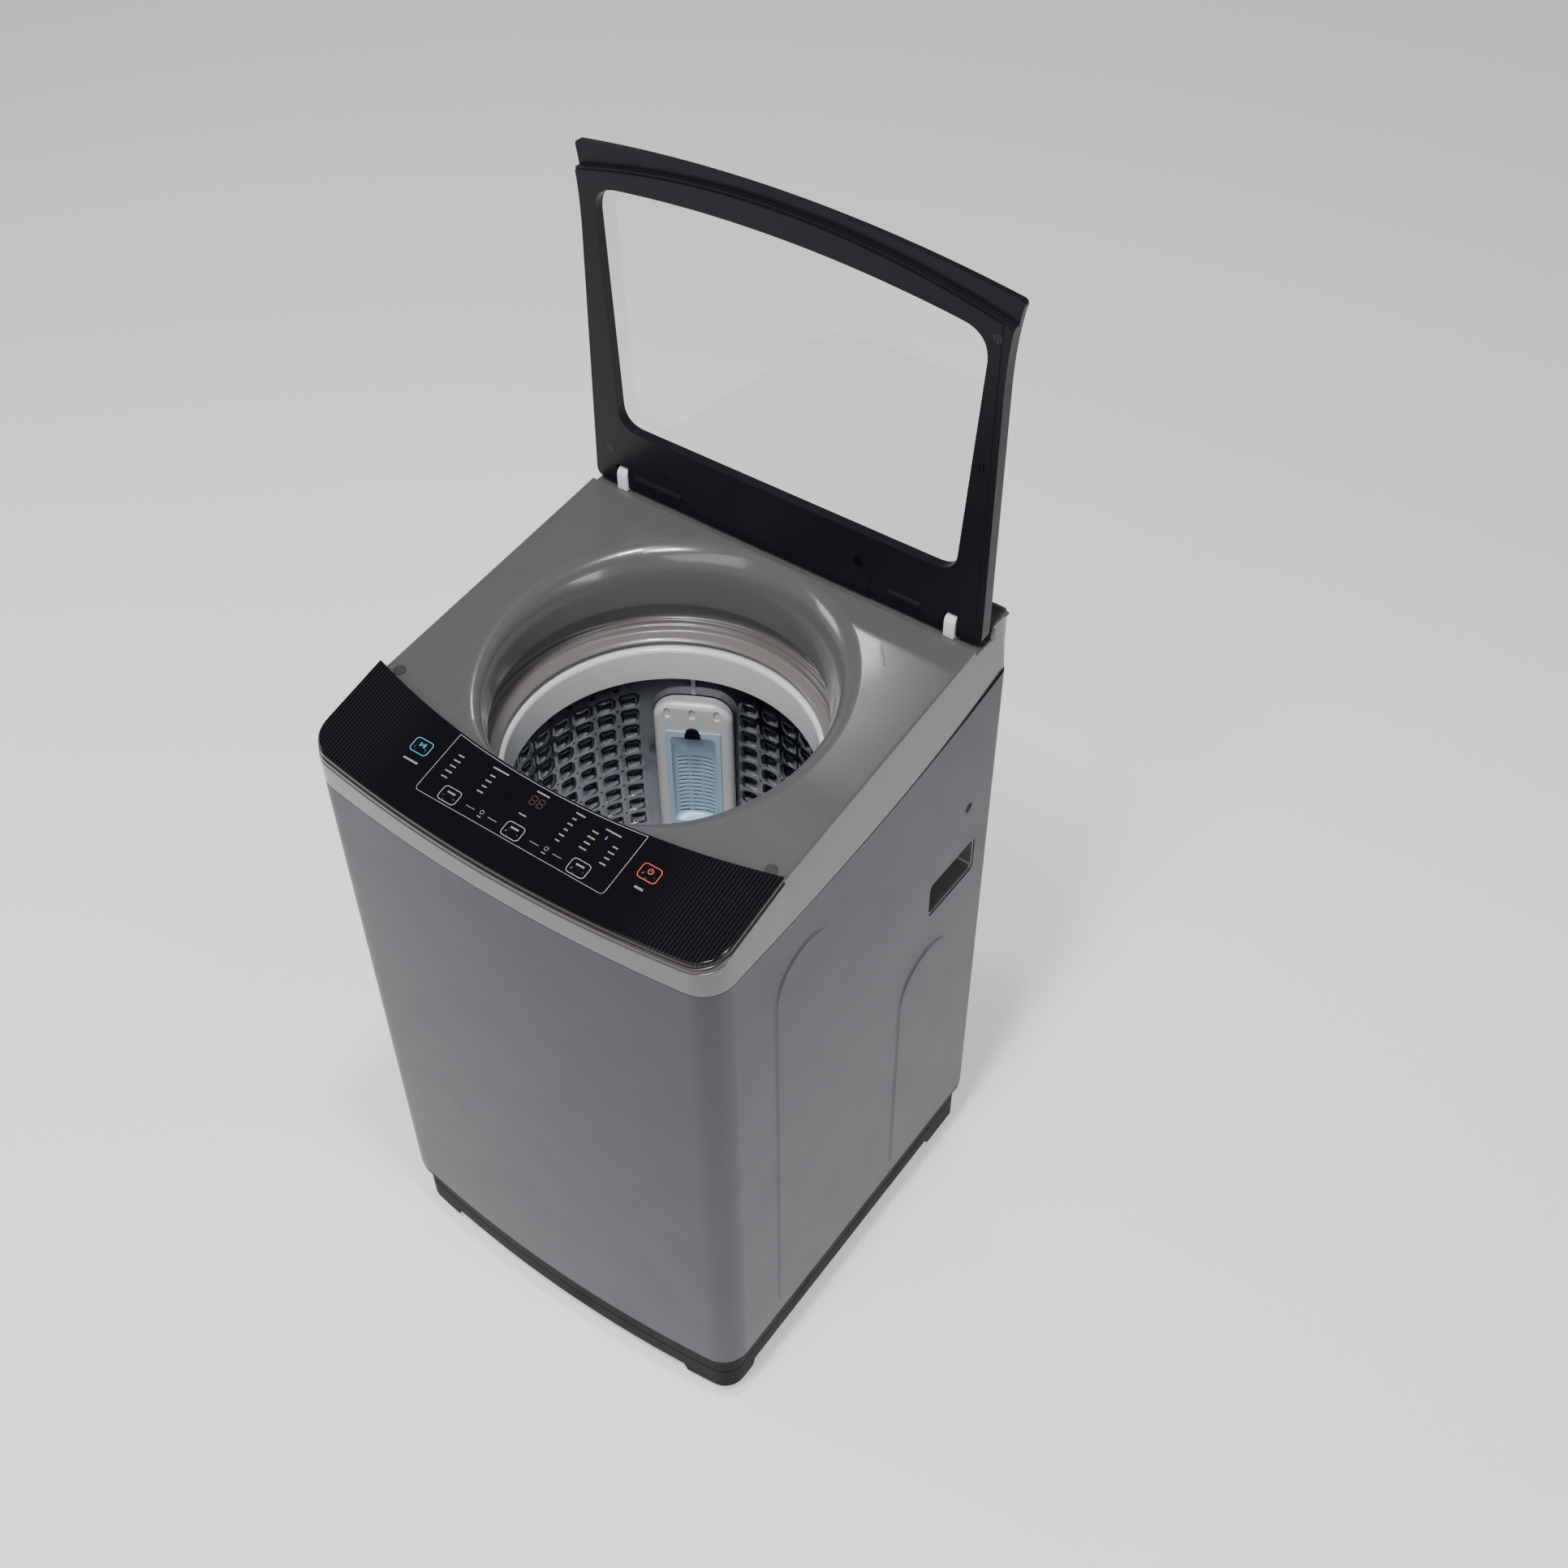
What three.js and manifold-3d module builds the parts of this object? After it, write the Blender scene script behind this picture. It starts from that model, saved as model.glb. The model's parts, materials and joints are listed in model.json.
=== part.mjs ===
// Top-load washing machine with its lid standing open. Millimetres: +X right, +Y to the rear, +Z up.
// The origin is the centre of the footprint, on the floor.
import * as THREE from "three";
import { mergeVertices } from "three/addons/utils/BufferGeometryUtils.js";
import Module from "manifold-3d";

const wasm = await Module();
wasm.setup();

// ---------------------------------------------------------------- driving dimensions
const degree = Math.PI / 180;
const gap = 0.3; // between pieces that touch
const roundSides = 36; // facets of a large round piece
const smallSides = 12; // facets of a small one
const far = 1200; // reach of a cutting solid

const cabinet = {
  width: 550,
  depth: 570,
  height: 970, // to the lip at the rear, without the lid
  sheet: 1,
  frontRadius: 1840, // the front is bowed in plan
  cornerRadius: 38,
  rearCornerRadius: 14,
  bottom: 98,
  rearFlange: 28,
};
const halfWidth = cabinet.width / 2;
const halfDepth = cabinet.depth / 2;

const seam = { frontDrop: 122, rearDrop: 78, riseStart: 135, gap: 0.4 };
const seamFrontZ = cabinet.height - seam.frontDrop;

const cover = {
  wall: 3.5,
  slope: 6.3 * degree,
  lean: 8, // each side leans in this much between seam and rear deck
  planeDrop: 9.3, // the sloping top, below the cabinet's height at the trough
  deckDrop: 4,
  lipDepth: 6,
  troughDepth: 38, // front to rear, for the lid's lower edge
  troughDrop: 20,
  deckDepth: 33,
};
const troughRearY = halfDepth - cover.deckDepth;
const troughFrontY = troughRearY - cover.troughDepth + 3.5;
const troughFloorZ = cabinet.height - cover.troughDrop;
const deckZ = cabinet.height - cover.deckDrop;

const mouth = { insideDrum: 16, flare: 20, lowerDrop: 86, wall: 3 };

const fascia = {
  standsProud: 6.17, // its rear edge above the cover's sloping top, at the middle
  slope: 14 * degree,
  thickness: 8,
  inset: 1.5,
  rearRadius: 1043, // its rear edge is an arc in plan
  middleDepth: 105, // front to rear at the middle
  boardDrop: 11,
  board: [250, 52, 1.6],
};
const trim = { thickness: 7, inset: 0.6, ringWidth: 13 };
const button = { width: 25, depth: 19, proud: 0.7, clearance: 0.4, round: 5 };
const display = { width: 68, depth: 26, thickness: 1.6 };
const rowOfButtons = { pitch: 87, fromFront: 46 };
const endButtons = { spread: 154, fromFront: 77 };
const displayFromFront = 86;

const lid = {
  lean: 1 * degree, // back from upright when open
  axisFromRear: 51,
  axisDrop: 0,
  lowerEdge: 14, // below the hinge axis
  overlap: 23, // over the fascia's rear corners when closed
  bow: 21,
  lowerInset: 7, // from the cabinet's side
  upperInset: 3,
  inside: 8, // the inner face, in front of the hinge axis
  outside: 9,
  lip: 8, // thickness of the part that overlaps the fascia
  windowLower: 68,
  upperBar: 40,
  windowBow: 19,
  lowerStile: 38,
  upperStile: 29,
  windowRound: 30,
  glass: 3.7,
  glassOverlap: 8,
};
const lidLowerHalf = halfWidth - lid.lowerInset;
const lidUpperHalf = halfWidth - lid.upperInset;
const hingeY = halfDepth - lid.axisFromRear;
const hingeZ = cabinet.height - lid.axisDrop;
const fasciaRearCentre = fascia.middleDepth - halfDepth + fascia.rearRadius;
// Where the fascia's rear edge lies at a distance from the middle.
const fasciaRearY = (x) => fasciaRearCentre - Math.sqrt(fascia.rearRadius ** 2 - x ** 2);
const lidCorner = (hingeY - fasciaRearY(lidUpperHalf) + lid.overlap) / Math.cos(cover.slope);

const hinge = { fromSide: 47, bracketWidth: 14, bracketRadius: 11, pinRadius: 3, pinLength: 52 };
const bumper = { fromSide: 23, behindFascia: 11, radius: 7, stem: 4, height: 1.2 };
const bumperX = halfWidth - bumper.fromSide;
const bumperY = fasciaRearY(bumperX) + bumper.behindFascia;

const base = {
  bottom: 18,
  archTop: 30,
  inset: 9,
  ring: 45,
  ledge: 8,
  ledgeInset: 1.5,
  cornerLength: 80,
  boss: 27,
};
const foot = { radius: 21, fromSide: 47, fromEnd: 53, stud: 5, studTop: 50, thinPad: 10 };

const handle = { fromRear: 40, length: 100, height: 56, drop: 329, depth: 22, wall: 2, lap: 4 };
const handleRearY = halfDepth - handle.fromRear;
const handleFrontY = handleRearY - handle.length;
const handleHighZ = cabinet.height - handle.drop;
const handleLowZ = handleHighZ - handle.height;
const plug = { radius: 6.5, fromRear: 64, drop: 258, depth: 6 };
const plugZ = cabinet.height - plug.drop;

const drum = {
  radius: 204,
  sheet: 1.2,
  depth: 375, // floor below the top of the wall
  topDrop: 199, // top of the wall below the cabinet's height
  centreHole: 60,
  running: 15, // to the tub's wall
};
const drumTopZ = cabinet.height - drum.topDrop;
const drumFloorZ = drumTopZ - drum.depth;
const mouthRadius = drum.radius - mouth.insideDrum;
const balance = { insideDrum: 26, outsideDrum: 3.5, height: 50 };
const balanceInner = drum.radius - balance.insideDrum;
const balanceOuter = drum.radius + balance.outsideDrum;
const balanceTopZ = drumTopZ + balance.height;

const tub = { wall: 3.5, floor: 5, underDrum: 18, rim: 7, shaftHole: 16, lugThickness: 12 };
const tubInner = drum.radius + drum.sheet + drum.running;
const tubOuter = tubInner + tub.wall;
const tubFloorTopZ = drumFloorZ - tub.underDrum;
const tubBottomZ = tubFloorTopZ - tub.floor;
const tubTopZ = balanceTopZ + 1;

const tower = {
  angle: 28.6 * degree, // round the drum from the rear, towards the left
  halfWidth: 50,
  depth: 20, // its inner face, inside the drum's wall
  topDrop: 49,
  round: 27,
};
const towerTopZ = drumTopZ - tower.topDrop;
const towerFace = drum.radius - tower.depth;
const filter = {
  halfWidth: 35,
  topDrop: 44,
  height: 168,
  plate: 2,
  basketDepth: 13,
  basketHalf: 30.5,
  basketWall: 2,
  clearance: 2.5,
};
const filterTopZ = towerTopZ - filter.topDrop;
const filterLowZ = filterTopZ - filter.height;
const latch = { halfWidth: 10, height: 18, above: 9, thickness: 3 };

const pulsator = { fromTower: 26, rim: 5, dome: 34, vaneCount: 4, vaneWidth: 14, vaneHeight: 24 };
const pulsatorRadius = towerFace - pulsator.fromTower;
const shaft = { radius: 9.4, tubeInner: 9.9, tubeOuter: 12 };
const plate = { thickness: 4.7, long: 340, wide: 140, motorReach: 215, frontReach: 120 };
const plateTopZ = tubBottomZ - gap;
const plateLowZ = plateTopZ - plate.thickness;
const gearbox = { radius: 75, height: 80, neck: 30, neckHeight: 24, bore: 12.6 };
const gearboxTopZ = plateLowZ - gap;
const gearboxLowZ = gearboxTopZ - gearbox.height - gearbox.neckHeight;
const pulley = { radius: 80, flange: 5, width: 24, belowGearbox: 39 };
const pulleyTopZ = gearboxLowZ - pulley.belowGearbox;
const motor = { distance: 150, radius: 58, body: 112, neck: 30, pulleyRadius: 25, shaft: 6 };
const belt = { thickness: 5, width: 16, clearance: 1 };

const suspension = {
  fromSide: 53,
  fromEnd: 53,
  rod: 4,
  lugDrop: 340, // lug's top below the tub's rim level
  springLength: 94,
  springInner: 9,
  springOuter: 15,
  cup: 18,
  cupHeight: 6,
  hanger: 22,
  hangerThickness: 4,
};
const rodX = halfWidth - suspension.fromSide;
const rodY = halfDepth - suspension.fromEnd;
const lugTopZ = tubTopZ - suspension.lugDrop;
const lugLowZ = lugTopZ - tub.lugThickness;
const cupTopZ = lugLowZ - suspension.springLength;
const hangerZ = seamFrontZ - 12;

const valve = { width: 60, height: 38, body: 24, nozzle: 12, x: -160, below: 14 };
const sensor = { radius: 20, height: 25, fromSide: 75, fromRear: 40 };
const drain = { x: 120, y: -120, radius: 28, height: 54, spigot: 14, reach: 70 };
const outlet = { x: -180, z: 140, radius: 14, length: 30, flange: 20 };
const gland = { x: 200, z: cabinet.height - 150, radius: 9, length: 22, flange: 12 };

// ---------------------------------------------------------------- finishes
function finish(color, roughness, metalness = 0, opacity = 1) {
  return new THREE.MeshStandardMaterial({
    color,
    roughness,
    metalness,
    opacity,
    transparent: opacity < 1,
  });
}
const paint = finish(0x77777d, 0.4, 0.3);
const coverPlastic = finish(0x77767a, 0.3);
const ringPlastic = finish(0x837d78, 0.45);
const palePlastic = finish(0xa3a2a2, 0.4);
const blackGloss = finish(0x0b0a0c, 0.15);
const blackPlastic = finish(0x121216, 0.4);
const bronze = finish(0x2b2522, 0.3, 0.5);
const darkPlastic = finish(0x23222a, 0.6);
const tubPlastic = finish(0xb9bcc0, 0.6);
const steel = finish(0xb8bcc0, 0.25, 1);
const zincSteel = finish(0x9a9c9e, 0.45, 1);
const castAlloy = finish(0xa7a8aa, 0.55, 1);
const rubber = finish(0x1a1a1a, 0.85);
const clearGlass = finish(0xe8eef0, 0.05, 0, 0.3);
const filterBlue = finish(0x6f9cc4, 0.3, 0, 0.6);
const circuitGreen = finish(0x1d5a3a, 0.6);
const valveWhite = finish(0xd8d8d4, 0.6);

// ---------------------------------------------------------------- shape tools
const axisX = new THREE.Vector3(1, 0, 0);
const axisY = new THREE.Vector3(0, 1, 0);
const axisZ = new THREE.Vector3(0, 0, 1);

// A closed geometry as a solid, with its faces turned outwards.
function solid(geometry) {
  const bare = geometry.clone();
  bare.deleteAttribute("normal");
  bare.deleteAttribute("uv");
  const merged = mergeVertices(bare, 1e-4);
  const corners = merged.index.array;
  const faces = [];
  for (let i = 0; i < corners.length; i += 3) {
    const [a, b, c] = [corners[i], corners[i + 1], corners[i + 2]];
    if (a !== b && b !== c && c !== a) faces.push(a, b, c);
  }
  const build = (triVerts) =>
    new wasm.Manifold(
      new wasm.Mesh({
        numProp: 3,
        vertProperties: Float32Array.from(merged.attributes.position.array),
        triVerts: Uint32Array.from(triVerts),
      }),
    );
  const made = build(faces);
  return made.volume() < 0 ? build(faces.reverse()) : made;
}

function extruded(shape, low, high, curveSegments) {
  const settings = { depth: high - low, bevelEnabled: false, curveSegments };
  return new THREE.ExtrudeGeometry(shape, settings).translate(0, 0, low);
}

// A plan outline (x, y) raised from one height to another.
function raised(shape, low, high, curveSegments = 3) {
  return solid(extruded(shape, low, high, curveSegments));
}

// A side profile (y, z) drawn out along X.
function acrossX(shape, low, high, curveSegments = 3) {
  const turn = new THREE.Matrix4().makeBasis(axisY, axisZ, axisX);
  return solid(extruded(shape, low, high, curveSegments).applyMatrix4(turn));
}

// A front profile (x, z) drawn out along Y.
function acrossY(shape, low, high, curveSegments = 3) {
  const turn = new THREE.Matrix4().makeBasis(axisX, axisZ, axisY.clone().negate());
  return solid(extruded(shape, -high, -low, curveSegments).applyMatrix4(turn));
}

function polygon(points) {
  return new THREE.Shape(points.map(([x, y]) => new THREE.Vector2(x, y)));
}

function roundedRectangle(x0, y0, x1, y1, round) {
  const s = new THREE.Shape();
  s.absarc(x1 - round, y1 - round, round, 0, Math.PI / 2);
  s.absarc(x0 + round, y1 - round, round, Math.PI / 2, Math.PI);
  s.absarc(x0 + round, y0 + round, round, Math.PI, 1.5 * Math.PI);
  s.absarc(x1 - round, y0 + round, round, 1.5 * Math.PI, 2 * Math.PI);
  s.closePath();
  return s;
}

function block([x0, y0, z0], [x1, y1, z1]) {
  const box = new THREE.BoxGeometry(x1 - x0, y1 - y0, z1 - z0);
  return solid(box.translate((x0 + x1) / 2, (y0 + y1) / 2, (z0 + z1) / 2));
}

function upright(radius, low, high, x = 0, y = 0, sides = smallSides) {
  const rod = new THREE.CylinderGeometry(radius, radius, high - low, sides);
  return solid(rod.rotateX(Math.PI / 2).translate(x, y, (low + high) / 2));
}

function alongX(radius, low, high, y, z, sides = smallSides) {
  const rod = new THREE.CylinderGeometry(radius, radius, high - low, sides);
  return solid(rod.rotateZ(Math.PI / 2).translate((low + high) / 2, y, z));
}

function alongY(radius, low, high, x, z, sides = smallSides) {
  const rod = new THREE.CylinderGeometry(radius, radius, high - low, sides);
  return solid(rod.translate(x, (low + high) / 2, z));
}

// A profile of [radius, height] points turned about the vertical axis.
function turned(profile, sides = roundSides) {
  const points = profile.map(([r, z]) => new THREE.Vector2(r, z));
  return solid(new THREE.LatheGeometry(points, sides).rotateX(Math.PI / 2));
}

// The same for a ring, whose section closes on itself.
function turnedRing(section, sides = roundSides) {
  return turned([...section, section[0]], sides);
}

function moved(body, matrix) {
  return solid(geometryOf(body).applyMatrix4(matrix));
}

function geometryOf(body) {
  const { numProp, numVert, vertProperties, triVerts } = body.getMesh();
  const positions = new Float32Array(numVert * 3);
  for (let i = 0; i < numVert; i++)
    positions.set(vertProperties.subarray(i * numProp, i * numProp + 3), i * 3);
  return new THREE.BufferGeometry()
    .setAttribute("position", new THREE.BufferAttribute(positions, 3))
    .setIndex(new THREE.BufferAttribute(triVerts, 1));
}

const machine = new THREE.Group();
function part(name, body, material, parent = machine) {
  const geometry = geometryOf(body);
  geometry.computeVertexNormals();
  const mesh = new THREE.Mesh(geometry, material);
  mesh.name = name;
  parent.add(mesh);
}

const sides = [
  ["left", -1],
  ["right", 1],
];
const corners = [
  ["front_left", -1, -1],
  ["front_right", 1, -1],
  ["rear_left", -1, 1],
  ["rear_right", 1, 1],
];

// ---------------------------------------------------------------- plan outline
// The cabinet's outline moved inwards: bowed front, large front corners, small rear ones.
function outline(inset) {
  const side = halfWidth - inset;
  const rear = halfDepth - inset;
  const bow = cabinet.frontRadius - inset;
  const bowCentreY = cabinet.frontRadius - halfDepth;
  const round = Math.max(cabinet.cornerRadius - inset, 3);
  const rearRound = Math.max(cabinet.rearCornerRadius - inset, 1);
  const roundX = side - round;
  const roundY = bowCentreY - Math.sqrt((bow - round) ** 2 - roundX ** 2);
  const meet = Math.atan2(roundY - bowCentreY, roundX);
  const s = new THREE.Shape();
  s.absarc(side - rearRound, rear - rearRound, rearRound, 0, Math.PI / 2);
  s.absarc(rearRound - side, rear - rearRound, rearRound, Math.PI / 2, Math.PI);
  s.absarc(-roundX, roundY, round, Math.PI, Math.PI - meet);
  s.absarc(0, bowCentreY, bow, Math.PI - meet, 2 * Math.PI + meet);
  s.absarc(roundX, roundY, round, 2 * Math.PI + meet, 2 * Math.PI);
  s.closePath();
  return s;
}

// Everything under the seam between cabinet and top cover, raised by a clearance.
function belowSeam(clearance) {
  const low = seamFrontZ + clearance;
  const high = cabinet.height - seam.rearDrop + clearance;
  const s = new THREE.Shape();
  s.moveTo(-far, 0);
  s.lineTo(halfDepth + 5, 0);
  s.lineTo(halfDepth + 5, high);
  s.quadraticCurveTo(halfDepth * 0.35, low, seam.riseStart - halfDepth, low);
  s.lineTo(-far, low);
  s.closePath();
  return acrossX(s, -far, far, 8);
}

// ---------------------------------------------------------------- cabinet
function buildCabinet() {
  const flangeX = halfWidth - cabinet.rearFlange;
  let shell = raised(outline(0), cabinet.bottom, cabinet.height)
    .subtract(raised(outline(cabinet.sheet), 0, far))
    .intersect(belowSeam(0));
  shell = shell.subtract(
    block([-flangeX, 0, cabinet.bottom + 24], [flangeX, far, seamFrontZ - 14]),
  );
  const handHold = roundedRectangle(handleFrontY, handleLowZ, handleRearY, handleHighZ, 8);
  shell = shell
    .subtract(acrossX(handHold, -far, far, 3))
    .subtract(alongX(plug.radius + gap, 0, far, halfDepth - plug.fromRear, plugZ));
  part("cabinet_shell", shell, paint);

  const panelFace = halfDepth - cabinet.sheet - gap;
  const rear = block(
    [-halfWidth + 14, panelFace - cabinet.sheet, cabinet.bottom + 4],
    [halfWidth - 14, panelFace, seamFrontZ - 4],
  )
    .subtract(alongY(outlet.radius + gap, 0, far, outlet.x, outlet.z))
    .subtract(alongY(gland.radius + gap, 0, far, gland.x, gland.z));
  part("rear_panel", rear, paint);

  for (const [name, side] of sides) {
    const face = halfWidth - cabinet.sheet - gap;
    const lap = handle.wall + handle.lap;
    const cup = block(
      [face - handle.depth, handleFrontY - lap, handleLowZ - lap],
      [face, handleRearY + lap, handleHighZ + lap],
    ).subtract(
      block(
        [face - handle.depth + handle.wall, handleFrontY, handleLowZ],
        [far, handleRearY, handleHighZ],
      ),
    );
    const flip = new THREE.Matrix4().makeScale(side, 1, 1);
    part("side_handle_" + name, moved(cup, flip), coverPlastic);
  }
  part(
    "side_plug",
    alongX(plug.radius, halfWidth - plug.depth, halfWidth - gap, halfDepth - plug.fromRear, plugZ),
    darkPlastic,
  );
}

function buildBase() {
  const top = cabinet.bottom - gap;
  let frame = raised(outline(base.inset), base.bottom, top)
    .add(raised(outline(base.ledgeInset), top - base.ledge, top))
    .subtract(raised(outline(base.inset + base.ring), 0, far));
  const archX = halfWidth - base.cornerLength;
  const archY = halfDepth - base.cornerLength;
  frame = frame
    .subtract(block([-archX, -far, 0], [archX, far, base.archTop]))
    .subtract(block([-far, -archY, 0], [far, archY, base.archTop]));
  const inside = raised(outline(base.inset), 0, far);
  for (const [, sx, sy] of corners) {
    const [x, y] = [sx * (halfWidth - foot.fromSide), sy * (halfDepth - foot.fromEnd)];
    frame = frame
      .add(upright(base.boss, base.bottom, foot.studTop + 14, x, y).intersect(inside))
      .subtract(upright(foot.stud + gap, 0, foot.studTop + 5, x, y));
  }
  part("base_frame", frame, darkPlastic);

  for (const [name, sx, sy] of corners) {
    const [x, y] = [sx * (halfWidth - foot.fromSide), sy * (halfDepth - foot.fromEnd)];
    const adjustable = name === "front_left";
    const padTop = adjustable ? foot.thinPad : base.bottom - gap;
    const pad = turned(
      [
        [0, 0],
        [foot.radius - 2, 0],
        [foot.radius, 3],
        [foot.radius - 3, padTop],
        [0, padTop],
      ],
      16,
    );
    const place = new THREE.Matrix4().makeTranslation(x, y, 0);
    part(
      "foot_" + name,
      moved(pad, place).add(upright(foot.stud, padTop - 1, foot.studTop, x, y)),
      rubber,
    );
    if (adjustable) {
      const nut = upright(11, foot.thinPad + 1, base.bottom - gap, x, y, 6);
      part("foot_locknut", nut.subtract(upright(foot.stud + gap, 0, far, x, y)), zincSteel);
    }
  }
}

// ---------------------------------------------------------------- top cover
const topPlaneZ = (y) =>
  cabinet.height - cover.planeDrop + (y - troughRearY) * Math.tan(cover.slope);
const fasciaFrontZ =
  topPlaneZ(fascia.middleDepth - halfDepth) +
  fascia.standsProud -
  fascia.middleDepth * Math.tan(fascia.slope);
const fasciaZ = (y) => fasciaFrontZ + (y + halfDepth) * Math.tan(fascia.slope);

// The plan region ahead of the fascia's rear edge, which lies `margin` further back.
function aheadOfFasciaEdge(margin) {
  const radius = fascia.rearRadius - margin;
  const reach = halfWidth + 40;
  const swing = Math.asin(reach / radius);
  const s = new THREE.Shape();
  s.moveTo(-reach, -far);
  s.lineTo(reach, -far);
  s.absarc(0, fasciaRearCentre, radius, swing - Math.PI / 2, -swing - Math.PI / 2, true);
  s.closePath();
  return raised(s, 0, 2 * far, 6);
}

// A slab parallel to the fascia's face, between two distances above it.
function fasciaSlab(low, high) {
  const front = -halfDepth - 40;
  return acrossX(
    polygon([
      [front, fasciaZ(front) + low],
      [0, fasciaZ(0) + low],
      [0, fasciaZ(0) + high],
      [front, fasciaZ(front) + high],
    ]),
    -far,
    far,
  );
}

// The cover's outer form, moved inwards: sloping top, hinge trough, rear deck, fascia's seat.
function coverForm(inset) {
  const front = -halfDepth - 40;
  const profile = polygon([
    [front, 0],
    [halfDepth + 40, 0],
    [halfDepth + 40, deckZ - inset],
    [troughRearY + inset, deckZ - inset],
    [troughRearY + inset, troughFloorZ - inset],
    [troughFrontY - inset, troughFloorZ - inset],
    [troughFrontY - inset, topPlaneZ(troughFrontY) - inset],
    [front, topPlaneZ(front) - inset],
  ]);
  const leanPerZ = cover.lean / (deckZ - seamFrontZ);
  const sideAt = (z) => halfWidth - inset - (z - seamFrontZ) * leanPerZ;
  const low = seamFrontZ - 60;
  const section = polygon([
    [-halfWidth + inset, low],
    [halfWidth - inset, low],
    [sideAt(seamFrontZ), seamFrontZ],
    [sideAt(cabinet.height + 20), cabinet.height + 20],
    [-sideAt(cabinet.height + 20), cabinet.height + 20],
    [-sideAt(seamFrontZ), seamFrontZ],
  ]);
  const seat = aheadOfFasciaEdge(2 * gap + inset).intersect(
    fasciaSlab(-fascia.thickness - trim.thickness - 2 * gap - inset, far),
  );
  return raised(outline(inset), low, cabinet.height + 20)
    .intersect(acrossX(profile, -far, far))
    .intersect(acrossY(section, -far, far))
    .subtract(seat);
}

// The flared mouth's hollow, or with a wall thickness the form that leaves that wall round it.
function mouthForm(wall) {
  const low = cabinet.height - mouth.lowerDrop;
  const start = wall > 0 ? low - 1 : low - 30;
  const shares = [0, 0.2, 0.4, 0.6, 0.8, 1];
  const flared = shares.map((share) => [
    mouthRadius + wall + mouth.flare * share ** 2,
    low + (troughFloorZ - low) * share,
  ]);
  const top = cabinet.height + 40;
  return turned([
    [0, start],
    [mouthRadius + wall, start],
    ...flared,
    [mouthRadius + wall + mouth.flare, top],
    [0, top],
  ]);
}

function buildTopCover() {
  const outer = coverForm(0);
  let shell = outer
    .subtract(coverForm(cover.wall))
    .add(mouthForm(mouth.wall).intersect(outer))
    .subtract(mouthForm(0));
  const lip = raised(outline(0), deckZ - 1, cabinet.height).intersect(
    block([-halfWidth + cover.lean, halfDepth - cover.lipDepth, 0], [halfWidth - cover.lean, far, far]),
  );
  shell = shell.add(lip).subtract(belowSeam(seam.gap));
  for (const [, side] of sides)
    shell = shell.subtract(
      upright(bumper.stem + 2 * gap, 0, far, side * bumperX, bumperY),
    );
  shell = shell.subtract(alongY(valve.nozzle + gap, halfDepth - 20, far, valve.x, valveZ));
  part("top_cover", shell, coverPlastic);

  for (const [name, side] of sides) {
    const tilted = new THREE.Group();
    tilted.position.set(side * bumperX, bumperY, topPlaneZ(bumperY));
    tilted.rotation.x = cover.slope;
    machine.add(tilted);
    const pad = turned(
      [
        [0, -6],
        [bumper.stem - gap, -6],
        [bumper.stem - gap, gap],
        [bumper.radius, gap],
        [bumper.radius - 0.6, bumper.height],
        [0, bumper.height],
      ],
      smallSides,
    );
    part("cover_bumper_" + name, pad, rubber, tilted);
  }
}
const valveZ = troughFloorZ - cover.wall - valve.below - valve.height / 2;

function buildInletAndSensor() {
  const low = valveZ - valve.height / 2;
  const rear = halfDepth - cover.wall - 2;
  const body = block(
    [valve.x - valve.width / 2, rear - valve.body, low],
    [valve.x + valve.width / 2, rear, low + valve.height],
  ).add(alongY(valve.nozzle, rear - 1, halfDepth - gap, valve.x, valveZ));
  part("inlet_valve", body, valveWhite);
  const sensorX = halfWidth - sensor.fromSide;
  const sensorY = halfDepth - sensor.fromRear;
  part(
    "pressure_sensor",
    upright(sensor.radius, valveZ - sensor.height, valveZ, sensorX, sensorY),
    valveWhite,
  );
  const panelFace = halfDepth - cabinet.sheet;
  for (const [name, size] of [
    ["drain_outlet", outlet],
    ["cord_gland", gland],
  ]) {
    const inner = panelFace - cabinet.sheet - 2 * gap;
    const pipe = alongY(size.radius, inner - size.length, halfDepth - gap, size.x, size.z)
      .add(alongY(size.flange, inner - 5, inner, size.x, size.z))
      .subtract(alongY(size.radius - 3, 0, far, size.x, size.z));
    part(name, pipe, darkPlastic);
  }
}

// ---------------------------------------------------------------- control panel
const panelFrame = new THREE.Matrix4()
  .makeRotationX(fascia.slope)
  .setPosition(0, -halfDepth, fasciaFrontZ);
// Distances along the fascia's slope, from the depth measured level.
const alongSlope = (fromFront) => fromFront / Math.cos(fascia.slope);

const buttons = [
  ["button_start", -endButtons.spread, endButtons.fromFront],
  ["button_process", -rowOfButtons.pitch, rowOfButtons.fromFront],
  ["button_custom", 0, rowOfButtons.fromFront],
  ["button_program", rowOfButtons.pitch, rowOfButtons.fromFront],
  ["button_power", endButtons.spread, endButtons.fromFront],
];

function onPanel(x, fromFront, across, deep, round, low, high) {
  const v = alongSlope(fromFront);
  const s = roundedRectangle(x - across / 2, v - deep / 2, x + across / 2, v + deep / 2, round);
  return moved(raised(s, low, high, 1), panelFrame);
}

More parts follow.
